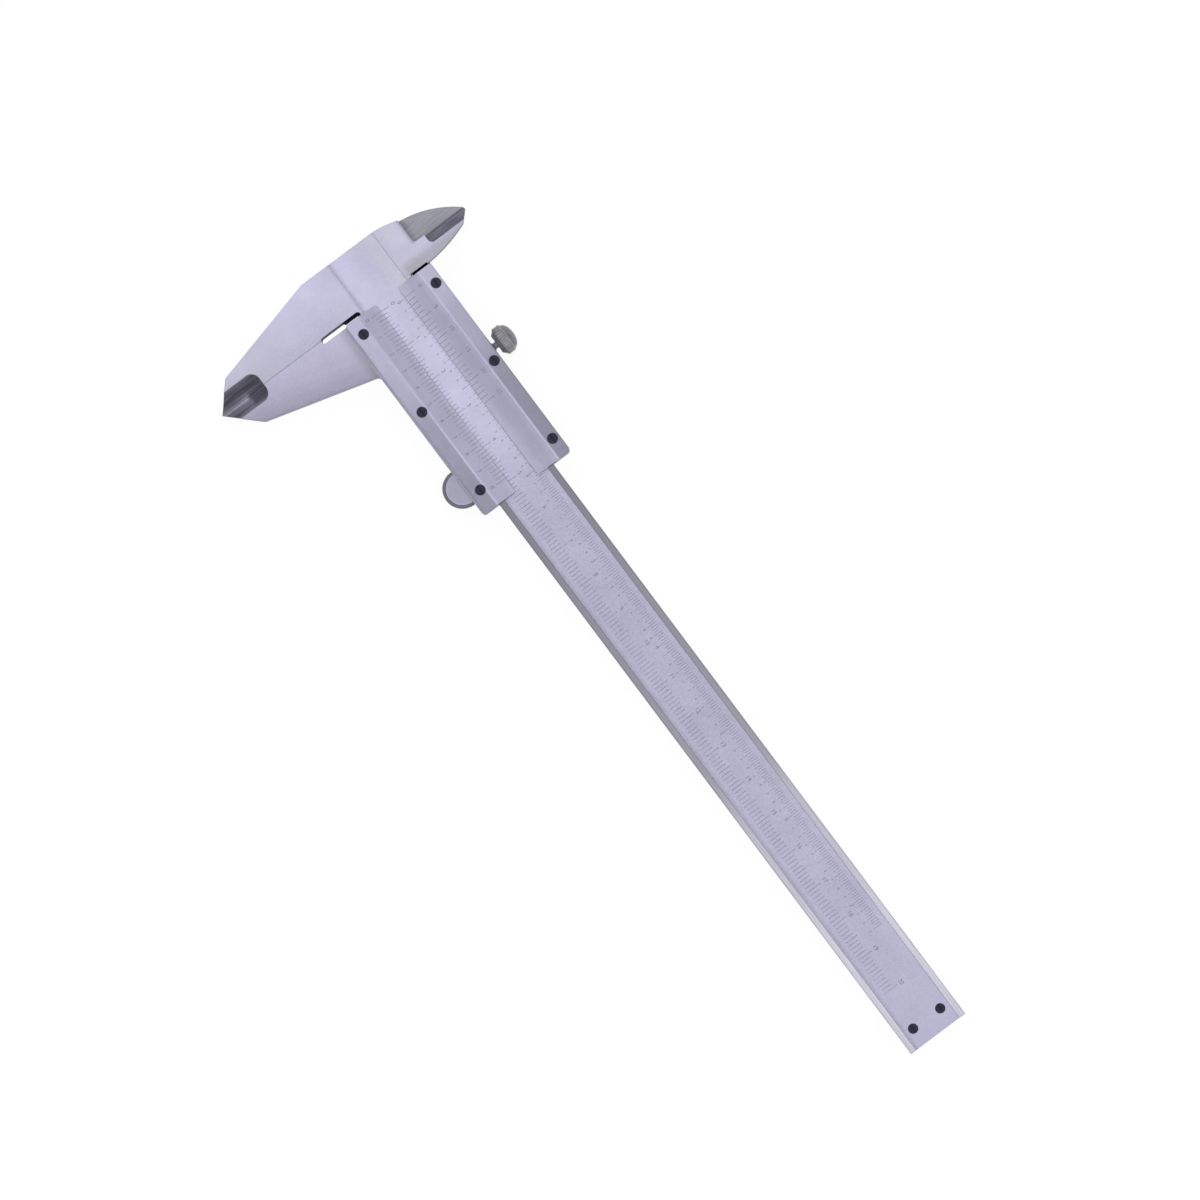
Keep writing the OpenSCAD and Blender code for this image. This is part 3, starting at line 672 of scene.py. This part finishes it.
def satin_frame_material(finish):
    """The slider's forging: the same satin chrome, with bare ground knife edges."""
    # The moving blade's flat is ground bare, so it is greyer and duller than the chromed head.
    material, tree, shader, place = new_material("steel_satin_chromed_slider")
    streaks = grain(tree, place, **KNIFE_STREAKS)
    tint, rough, height = blasted_chrome(tree, place, finish.satin)

    # Painted shade on the moving jaw: a darker copy of the chrome, painted light and shade across it and a
    # painted shadow under the frame.
    jaw_tint = add_node(tree, "ShaderNodeMix", MULTIPLY,
                        {"Factor": 1.0, 6: tint, 7: MOVING_JAW.tone}).outputs[2]
    jaw_tint = shade_along(tree, place, jaw_tint, MOVING_JAW_TONES, JAW_BACK)
    jaw_tint = shade(tree, place, jaw_tint, UNDER_FRAME)
    tint = add_node(tree, "ShaderNodeMix", COVER,
                    {"Factor": inside(tree, place, MOVING_JAW), 6: tint, 7: jaw_tint}).outputs[2]
    # Painted shade on the frame's lower step, then on the walls.
    tint = shade(tree, place, tint, LOWER_STEP)
    tint = milled_walls(tree, tint)
    # Painted shade in the gap by the blade's root.
    tint = add_node(tree, "ShaderNodeMix", COVER,
                    {"Factor": inside(tree, place, SLIDER_GAP), 6: tint,
                     7: opaque(linear("1C1A28"))}).outputs[2]

    flat = add_node(tree, "ShaderNodeMix", COVER,
                    {"Factor": streaks, 6: opaque(linear("8E8E96")),
                     7: opaque(linear("A5A5AC"))}).outputs[2]
    # Painted shade at the blade's foot.
    flat = shade(tree, place, flat, BLADE_FOOT)
    tint, rough, height = lay_over(tree, inside(tree, place, MOVING_BLADE), (tint, rough, height),
                                   (flat, BLADE_ROUGH, streaks))
    tip = hollow_tip(tree, place, streaks, finish.ground)
    tint, rough, height = lay_over(tree, inside(tree, place, TIP_HOLLOW), (tint, rough, height),
                                   (tip, GROUND_ROUGH, streaks))
    connect(tree, shader, (tint, rough, height), metal=1.0, relief_mm=0.02, strength=0.35, edge_mm=0.22)
    return material


def vernier_material(finish):
    """Rolled steel plate, blasted and satin-chromed, with a brushed grain along its length."""
    # The long grain gives the bevels a faint streak that runs with the window.
    material, tree, shader, place = new_material("steel_satin_chromed_plate")
    brushed = grain(tree, place, **PLATE_BRUSHING)
    tint, rough, speck = blasted_chrome(tree, place, finish.vernier)
    inch_crest = INCH_BEVEL["crest"] + CREST_GLINT
    metric_crest = METRIC_BEVEL["crest"] - CREST_GLINT
    # Painted reflection on the margins and bevels, then painted highlight and shade across the plates.
    for low_y, high_y, tones in (
        (inch_crest, None, INCH_MARGIN_TONES), (0.0, inch_crest, INCH_BEVEL_TONES),
        (metric_crest, 0.0, METRIC_BEVEL_TONES), (None, metric_crest, METRIC_MARGIN_TONES),
    ):
        face = Patch((None, low_y, None), (None, high_y, None), 0.25)
        tint = shade_along(tree, place, tint, tones, mask=inside(tree, place, face))
    tint = shade_along(tree, place, tint, PLATE_TONES_ACROSS, ACROSS)
    faint = add_node(tree, "ShaderNodeMath", {"operation": "MULTIPLY"},
                     {0: brushed, 1: BRUSHING_SHOWS}).outputs[0]
    tint = add_node(tree, "ShaderNodeMix", COVER,
                    {"Factor": faint, 6: tint, 7: opaque(linear("8C8BA0"))}).outputs[2]
    # Painted shade shows dark round each screw.
    for name in PLATE_SCREWS:
        low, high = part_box(name)
        centre = ((low[0] + high[0]) / 2, (low[1] + high[1]) / 2, high[2])
        rim = (high[0] - low[0]) / 2 / MM
        screw_shade = inside_ring(tree, place, centre, inner=-1.0, outer=rim + SCREW_SHADE_REACH, soft=0.08)
        tint = add_node(tree, "ShaderNodeMix", MULTIPLY,
                        {"Factor": screw_shade, 6: tint, 7: SCREW_RIM_SHADE}).outputs[2]
    tint = milled_walls(tree, tint)
    height = add_node(tree, "ShaderNodeMix", VALUE, {"Factor": 0.5, 2: speck, 3: brushed}).outputs[0]
    connect(tree, shader, (tint, rough, height), metal=1.0, relief_mm=0.02, strength=0.30, edge_mm=0.12)
    return material


def black_oxide_material(finish):
    """Steel screws blackened in a hot salt bath and oiled."""
    # The oxide is nearly black and slightly blue, with a soft sheen off the oil. Its crystals are
    # too fine to show, so its speck is drawn a quarter of a mm wide.
    material, tree, shader, place = new_material("steel_black_oxide")
    speck = grain(tree, place, size_mm=0.25)
    tint = add_node(tree, "ShaderNodeMix", COVER,
                    {"Factor": speck, 6: opaque(finish.black, 0.6), 7: opaque(finish.black, 1.6)}).outputs[2]
    rough = add_node(tree, "ShaderNodeMix", VALUE, {"Factor": speck, 2: 0.38, 3: 0.55}).outputs[0]
    connect(tree, shader, (tint, rough, speck), metal=0.3, relief_mm=0.01, strength=0.3, edge_mm=0.05)
    return material


def worked_metal_material(name, colour, rough, groove_mm, dark_share, rings=()):
    """Worked metal: tool marks and soil, with any rings of their own tone and share of bare metal."""
    # Real tool marks are too fine to show, so they are drawn a few tenths of a mm wide.
    material, tree, shader, place = new_material(name)
    marks = grain(tree, place, groove_mm, stretch=(1, 1, 5))
    soil = grain(tree, place, size_mm=1.6, detail=2.0)
    both = add_node(tree, "ShaderNodeMix", VALUE, {"Factor": 0.5, 2: marks, 3: soil}).outputs[0]
    tint = add_node(tree, "ShaderNodeMix", COVER,
                    {"Factor": both, 6: opaque(colour, dark_share), 7: opaque(colour)}).outputs[2]
    metal = 1.0
    for ring in rings:
        mask = inside_ring(tree, place, ring.centre, ring.inner, ring.outer)
        tint = add_node(tree, "ShaderNodeMix", MULTIPLY,
                        {"Factor": mask, 6: tint, 7: grey(ring.tone)}).outputs[2]
        if ring.metal < 1.0:
            metal = add_node(tree, "ShaderNodeMix", VALUE,
                             {"Factor": mask, 2: metal, 3: ring.metal}).outputs[0]
    low, high = rough
    rough = add_node(tree, "ShaderNodeMix", VALUE, {"Factor": soil, 2: low, 3: high}).outputs[0]
    connect(tree, shader, (tint, rough, marks), metal, relief_mm=0.015, strength=0.3)
    return material


def ink_material(finish):
    """Etched lines filled with a matt dark filling, thinned by wear in places."""
    # The wear lets the chrome show through, so the lines look grey rather than black.
    material, tree, shader, place = new_material("etched_line_filling")
    wear_and_painted_shade = grain(tree, place, size_mm=3.5)
    tint = add_node(tree, "ShaderNodeMix", COVER,
                    {"Factor": wear_and_painted_shade, 6: opaque(finish.ink), 7: opaque(linear("9B9AAE"))}).outputs[2]
    rough = add_node(tree, "ShaderNodeMix", VALUE, {"Factor": wear_and_painted_shade, 2: 0.55, 3: 0.75}).outputs[0]
    feed(tree, shader.inputs["Base Color"], tint)
    feed(tree, shader.inputs["Roughness"], rough)
    return material


def paper_material():
    """Matt white paper: white to the eye and to metal, with the object's shadow kept."""
    # Most of what the camera and metal see of it is a plain glow, so its white stays even. The
    # fibre is drawn coarser than real, because real fibre is too fine to show.
    material, tree, shader, place = new_material("paper_white_matt")
    fibre = grain(tree, place, size_mm=6.0, detail=2.0)
    paper = add_node(tree, "ShaderNodeMix", COVER,
                     {"Factor": fibre, 6: opaque(linear("FAFAFB")), 7: opaque(linear("FFFFFF"))}).outputs[2]
    feed(tree, shader.inputs["Base Color"], paper)
    feed(tree, shader.inputs["Roughness"], 0.9)
    feed(tree, shader.inputs["Specular IOR Level"], 0.0)
    rays = add_node(tree, "ShaderNodeLightPath").outputs
    seen = rays["Is Camera Ray"]
    for ray in ("Is Glossy Ray", "Is Transmission Ray"):
        seen = add_node(tree, "ShaderNodeMath", {"operation": "MAXIMUM"}, {0: seen, 1: rays[ray]}).outputs[0]
    share = add_node(tree, "ShaderNodeMath", {"operation": "MULTIPLY"},
                     {0: seen, 1: PAPER_GLOW_SHARE}).outputs[0]
    glow = add_node(tree, "ShaderNodeEmission", inputs={"Color": grey(1), "Strength": PAPER_GLOW})
    mixed = add_node(tree, "ShaderNodeMixShader",
                     inputs={0: share, 1: shader.outputs[0], 2: glow.outputs[0]})
    output = next(node for node in tree.nodes if node.bl_idname == "ShaderNodeOutputMaterial")
    feed(tree, output.inputs["Surface"], mixed.outputs[0])
    return material


def dress(material, *nodes):
    """Gives CAD nodes a material."""
    for name in nodes:
        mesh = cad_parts[name].data
        mesh.materials.clear()
        mesh.materials.append(material)


# Operators

class CALIPER_OT_forgings(Operator):
    """Finishes the beam, the slider frame and the vernier plates"""
    bl_idname = "caliper.forgings"
    bl_label = "Forgings and plates"

    def execute(self, context):
        finish = context.scene.caliper_finish
        dress(satin_beam_material(finish), "main_beam")
        dress(satin_frame_material(finish), "slider_frame")
        dress(vernier_material(finish), "inch_vernier_plate", "metric_vernier_plate")
        return {"FINISHED"}


class CALIPER_OT_small_parts(Operator):
    """Finishes the screws, the gib spring, the depth rod and the end stop"""
    bl_idname = "caliper.small_parts"
    bl_label = "Small parts"

    def execute(self, context):
        finish = context.scene.caliper_finish
        black = black_oxide_material(finish)
        screws = [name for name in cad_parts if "plate_screw" in name or "set_screw" in name
                  or "stop_screw" in name]
        if len(screws) != SMALL_SCREWS:
            raise RuntimeError("the small screws aren't all in the frame")
        dress(black, *screws)
        # Rolled bronze strip: warm, with fine marks
        bronze = worked_metal_material("phosphor_bronze_rolled", finish.bronze, rough=(0.28, 0.42),
                                       groove_mm=0.3, dark_share=0.75)
        dress(bronze, "gib_spring")
        # Tempered strip: straw-grey from the heat
        spring = worked_metal_material("spring_steel_tempered", linear("8C8478"), rough=(0.3, 0.45),
                                       groove_mm=0.3, dark_share=0.7)
        dress(spring, "roller_washer")
        # Ground bar: bright, with fine marks
        ground = worked_metal_material("steel_ground_bar", linear("C2C2CC"), rough=(0.22, 0.36),
                                       groove_mm=0.4, dark_share=0.72)
        dress(ground, "depth_rod", "depth_rod_rivets", "end_stop_block", "roller_axle")
        return {"FINISHED"}


class CALIPER_OT_main_scales(Operator):
    """Etches the metric and inch scales into the beam's sunk strip"""
    bl_idname = "caliper.main_scales"
    bl_label = "Beam scales"

    def execute(self, context):
        scale = context.scene.caliper_scale
        ink = ink_material(context.scene.caliper_finish)
        up = Vector((0, 1, 0))
        normal = Vector((0, 0, 1))
        z = STRIP_Z * MM

        metric = bmesh.new()
        for k in range(scale.metric_length + 1):
            x = (METRIC_ZERO_X + k) * MM
            length = scale.short + (METRIC_PLAIN_EXTRA + longer(k, METRIC_LONGER)) * MM
            foot = Vector((x, METRIC_FOOT_Y * MM, z))
            add_bar(metric, foot, Vector((0, length, 0)), scale.line_width, normal, INK_RISE)
            if k % CENTIMETRE_PARTS == 0:
                spot = Vector((x, METRIC_NUMERAL_Y * MM, z))
                text = str(k // CENTIMETRE_PARTS)
                add_numeral(metric, text, scale.numeral, face_matrix(spot, up, normal))
        finish_mesh("beam_metric_scale", metric, ink, "beam")

        inches = bmesh.new()
        line_width = scale.line_width * INCH_LINE_SHARE
        for k in range(scale.inch_length + 1):
            x = (INCH_ZERO_X + k * INCH / INCH_PARTS) * MM
            length = (INCH_PLAIN + longer(k, INCH_LONGER)) * MM
            foot = Vector((x, INCH_FOOT_Y * MM, z))
            add_bar(inches, foot, Vector((0, -length, 0)), line_width, normal, INK_RISE)
            if k % TENTH_PARTS == 0:
                whole = k % INCH_PARTS == 0
                size = scale.numeral * (1.0 if whole else TENTH_NUMERAL_SHARE)
                text = str(k // INCH_PARTS) if whole else str(k // TENTH_PARTS % 10)
                spot = Vector((x, INCH_NUMERAL_Y * MM, z))
                add_numeral(inches, text, size, face_matrix(spot, up, normal))
        finish_mesh("beam_inch_scale", inches, ink, "beam")
        return {"FINISHED"}


class CALIPER_OT_vernier_scales(Operator):
    """Etches the graduations into the two plates' sloping faces"""
    bl_idname = "caliper.vernier_scales"
    bl_label = "Vernier scales"

    def execute(self, context):
        scale = context.scene.caliper_scale
        ink = ink_material(context.scene.caliper_finish)

        foot, away, normal = bevel_frame(METRIC_BEVEL)
        metric = bmesh.new()
        for k in range(METRIC_VERNIER_DIVISIONS + 1):
            x = Vector(((METRIC_ZERO_X + k * METRIC_VERNIER_STEP) * MM, 0, 0))
            length = scale.short + longer(k, METRIC_VERNIER_LONGER) * MM
            add_bar(metric, foot + x, away * length, scale.line_width, normal, INK_RISE)
            if k % VERNIER_PARTS == 0:
                spot = foot + x + away * METRIC_VERNIER_NUMERAL * MM
                text = str(k // VERNIER_PARTS % 10)
                add_numeral(metric, text, scale.numeral, face_matrix(spot, -away, normal))
        finish_mesh("metric_vernier_scale", metric, ink, "slider")

        foot, away, normal = bevel_frame(INCH_BEVEL)
        inches = bmesh.new()
        for k in range(INCH_VERNIER_DIVISIONS + 1):
            x = Vector(((INCH_ZERO_X + k * INCH_VERNIER_STEP) * MM, 0, 0))
            length = scale.short + longer(k, INCH_VERNIER_LONGER) * MM
            add_bar(inches, foot + x, away * length, scale.line_width, normal, INK_RISE)
            if k % VERNIER_PARTS == 0:
                spot = foot + x + away * INCH_VERNIER_NUMERAL * MM
                add_numeral(inches, str(k), scale.numeral, face_matrix(spot, away, normal))
        finish_mesh("inch_vernier_scale", inches, ink, "slider")
        return {"FINISHED"}


class CALIPER_OT_lock_screw(Operator):
    """Turns the knurled lock screw"""
    bl_idname = "caliper.lock_screw"
    bl_label = "Lock screw"

    def execute(self, context):
        turned = context.scene.caliper_turned
        finish = context.scene.caliper_finish
        low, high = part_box("lock_screw")
        axis_x = (low[0] + high[0]) / 2
        axis_z = (low[2] + high[2]) / 2
        head_r = (high[0] - low[0]) / 2
        start, end = low[1], high[1]

        # The threaded stud, then the neck, and the head's cone up to its knurled band
        stud_r = 1.25 * MM
        neck_r = 0.8 * MM
        cone_r = 2.4 * MM
        point = 0.3 * MM
        thread_depth = 0.22 * MM
        neck_low = end - 5.9 * MM
        neck_taper = 0.4 * MM
        cone_height = 0.9 * MM
        band_low = end - 3.9 * MM
        band_high = end - 1.8 * MM
        band_edge = 0.2 * MM
        cone_top_step = 0.35 * MM
        cone_top_gap = 0.05 * MM
        profile = [(0.0, start, 0, 0), (stud_r * 0.7, start, 0, 0), (stud_r, start + point, 0, 1)]
        thread_steps = 46
        for k in range(1, thread_steps):
            height = start + point + (neck_low - start - point) * k / thread_steps
            profile.append((stud_r, height, 0, 1))
        profile += [
            (stud_r, neck_low, 0, 0), (neck_r, neck_low + neck_taper, 0, 0),
            (neck_r, band_low - cone_height, 0, 0), (cone_r, band_low - cone_height, 0, 0),
            (head_r - cone_top_step, band_low - cone_top_gap, 0, 0),
            (head_r - band_edge, band_low, 0.1, 0), (head_r, band_low + band_edge, 1, 0),
            (head_r, band_high - band_edge, 1, 0), (head_r - band_edge, band_high, 0.1, 0),
        ]

        # The domed top
        dome_r = head_r - 0.4 * MM
        dome = end - band_high
        dome_steps = 10
        for k in range(1, dome_steps):
            angle = math.radians(90 * k / dome_steps)
            profile.append((dome_r * math.cos(angle), band_high + dome * math.sin(angle), 0, 0))
        profile.append((0.0, end, 0, 0))

        bm = bmesh.new()
        revolve(bm, profile, turned.lock_teeth * POINTS_PER_TOOTH, turned.lock_teeth,
                turned.knurl_depth, turned.thread_pitch, thread_depth)
        lay = Matrix.Translation((axis_x, 0, axis_z)) @ Matrix.Rotation(math.radians(-90), 4, "X")
        bmesh.ops.transform(bm, matrix=lay, verts=bm.verts)

        # Nickel over brass: a warm grey, with painted shade on the domed top and painted light under the
        # head, less metallic there.
        # Rings about a point far beyond the top cross the screw as nearly straight bands.
        far = 60.0
        beyond = (axis_x, end + far * MM, axis_z)
        # Painted shade on the domed top, then painted light under the head.
        wear_and_painted_shade = Ring(beyond, inner=-1.0, outer=far + 1.8, tone=0.72)
        painted_shading_ring = Ring(beyond, inner=far + 3.85, outer=far + 6.2, tone=1.1, metal=0.3)
        material = worked_metal_material("nickel_plate_turned", finish.nickel, rough=(0.26, 0.4),
                                         groove_mm=0.35, dark_share=0.6, rings=(wear_and_painted_shade, painted_shading_ring))
        piece = finish_mesh("knurled_lock_screw", bm, material, "lock",
                            smooth_angle=35)
        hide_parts("lock_screw")
        return {"FINISHED"}


class CALIPER_OT_thumb_roller(Operator):
    """Turns the thumb roller with its knurled rim"""
    bl_idname = "caliper.thumb_roller"
    bl_label = "Thumb roller"

    def execute(self, context):
        turned = context.scene.caliper_turned
        finish = context.scene.caliper_finish
        low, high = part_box("thumb_roller")
        middle_x = (low[0] + high[0]) / 2
        middle_y = (low[1] + high[1]) / 2
        rim = (high[0] - low[0]) / 2
        bottom, top = low[2], high[2]

        # A blind bore from below, a chamfered rim and a shallow dish in the top face
        bore = 1.05 * MM
        bore_end = top - 0.6 * MM
        chamfer = 0.35 * MM
        face_r = rim - chamfer - 0.4 * MM
        lip_r = rim - 0.72 * MM
        dish_r = rim - 0.86 * MM
        dish = top - 0.15 * MM
        profile = [
            (0.0, bore_end, 0, 0), (bore, bore_end, 0, 0), (bore, bottom, 0, 0), (face_r, bottom, 0, 0),
            (rim - chamfer, bottom, 0.1, 0), (rim, bottom + chamfer, 1, 0), (rim, top - chamfer, 1, 0),
            (rim - chamfer, top, 0.1, 0), (lip_r, top, 0, 0), (dish_r, dish, 0, 0), (0.0, dish, 0, 0),
        ]
        bm = bmesh.new()
        revolve(bm, profile, turned.roller_teeth * POINTS_PER_TOOTH, turned.roller_teeth,
                turned.knurl_depth)
        bmesh.ops.transform(bm, matrix=Matrix.Translation((middle_x, middle_y, 0)), verts=bm.verts)

        # Turned steel: a satin face, a painted highlight ring inside the rim and painted shade over the
        # knurl
        centre = (middle_x, middle_y, top)
        rim_mm = rim / MM
        knurl_shade_r = rim_mm - 0.75
        painted_highlight_ring = Ring(centre, inner=rim_mm - 1.15, outer=knurl_shade_r, tone=1.12)
        painted_shading_ring = Ring(centre, inner=knurl_shade_r, outer=rim_mm + 3.0, tone=0.45)
        material = worked_metal_material("steel_turned_knurled", finish.roller, rough=(0.24, 0.38),
                                         groove_mm=0.35, dark_share=0.72, rings=(painted_highlight_ring, painted_shading_ring))
        piece = finish_mesh("knurled_thumb_roller", bm, material, "roller",
                            smooth_angle=35)
        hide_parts("thumb_roller")
        return {"FINISHED"}


def add_paper(scene):
    """A sheet of paper that lies flat and then sweeps up into a wall all round."""
    profile = [(0.0, 0.0, 0, 0)]
    sweep_steps = 12
    for k in range(sweep_steps + 1):
        angle = math.radians(90 * k / sweep_steps)
        profile.append((PAPER_REACH - PAPER_SWEEP + PAPER_SWEEP * math.sin(angle),
                        PAPER_SWEEP - PAPER_SWEEP * math.cos(angle), 0, 0))
    profile.append((PAPER_REACH, PAPER_TOP, 0, 0))
    bm = bmesh.new()
    revolve(bm, profile, segments=96)
    bmesh.ops.recalc_face_normals(bm, faces=bm.faces)
    mesh = bpy.data.meshes.new("floor")
    bm.to_mesh(mesh)
    bm.free()
    mesh.shade_smooth()
    mesh.materials.append(paper_material())
    floor = bpy.data.objects.new("floor", mesh)
    floor.location = (STAGE_MIDDLE_X, 0, -PAPER_DROP)
    scene.collection.objects.link(floor)


def add_softbox(scene, name, place, width, power, colour):
    """A square area lamp aimed at the middle of the stage."""
    lamp = bpy.data.lights.new(name, "AREA")
    lamp.shape = "SQUARE"
    lamp.size = width
    lamp.energy = power
    lamp.color = colour
    holder = bpy.data.objects.new(name, lamp)
    holder.location = place
    aim = Vector((STAGE_MIDDLE_X, 0, 0)) - Vector(place)
    holder.rotation_euler = aim.to_track_quat("-Z", "Y").to_euler()
    scene.collection.objects.link(holder)


def add_camera(scene):
    """A camera that looks straight down at the middle of the picture."""
    camera = bpy.data.cameras.new("camera")
    camera.lens = LENS
    camera.sensor_width = 36
    camera.clip_start = 0.1
    camera.clip_end = 20
    view = bpy.data.objects.new("camera", camera)
    x, y = PICTURE_MIDDLE
    rise = FRONT_Z * MM + PICTURE_WIDTH * MM * camera.lens / camera.sensor_width
    view.location = (x * MM, y * MM, rise)
    view.rotation_euler = (0, 0, math.radians(PICTURE_TURN))
    scene.collection.objects.link(view)
    scene.camera = view


class CALIPER_OT_stage(Operator):
    """Sets the floor, the soft light and the camera"""
    bl_idname = "caliper.stage"
    bl_label = "Stage"

    def execute(self, context):
        scene = context.scene
        scene.view_settings.view_transform = "Standard"
        add_paper(scene)
        world = bpy.data.worlds.new("studio")
        world.use_nodes = True
        scene.world = world
        sky = world.node_tree.nodes["Background"]
        sky.inputs["Color"].default_value = SKY
        sky.inputs["Strength"].default_value = 1.0
        for softbox in SOFTBOXES:
            add_softbox(scene, *softbox)
        add_camera(scene)
        return {"FINISHED"}


class CALIPER_PT_panel(Panel):
    """Lists the caliper's pieces and settings"""
    bl_idname = "CALIPER_PT_panel"
    bl_label = "Caliper"
    bl_space_type = "VIEW_3D"
    bl_region_type = "UI"
    bl_category = "Caliper"

    def draw(self, context):
        layout = self.layout
        for operator in OPERATORS:
            layout.operator(operator.bl_idname)
        scene = context.scene
        for group in (scene.caliper_finish, scene.caliper_scale, scene.caliper_turned):
            box = layout.box()
            for key in group.__annotations__:
                box.prop(group, key)


OPERATORS = (
    CALIPER_OT_stage, CALIPER_OT_forgings, CALIPER_OT_small_parts, CALIPER_OT_main_scales,
    CALIPER_OT_vernier_scales, CALIPER_OT_lock_screw, CALIPER_OT_thumb_roller,
)
CLASSES = (CaliperFinish, CaliperScale, CaliperTurned, CALIPER_PT_panel) + OPERATORS


def register():
    """Registers the classes and the scene's settings."""
    for cls in CLASSES:
        bpy.utils.register_class(cls)
    bpy.types.Scene.caliper_finish = PointerProperty(type=CaliperFinish)
    bpy.types.Scene.caliper_scale = PointerProperty(type=CaliperScale)
    bpy.types.Scene.caliper_turned = PointerProperty(type=CaliperTurned)


def unregister():
    """Removes the scene's settings and the classes."""
    del bpy.types.Scene.caliper_turned
    del bpy.types.Scene.caliper_scale
    del bpy.types.Scene.caliper_finish
    for cls in reversed(CLASSES):
        bpy.utils.unregister_class(cls)


def main():
    """Builds the dressed caliper."""
    register()
    bpy.ops.caliper.stage()
    bpy.ops.caliper.forgings()
    bpy.ops.caliper.small_parts()
    bpy.ops.caliper.main_scales()
    bpy.ops.caliper.vernier_scales()
    bpy.ops.caliper.lock_screw()
    bpy.ops.caliper.thumb_roller()


if __name__ == "__main__":
    main()
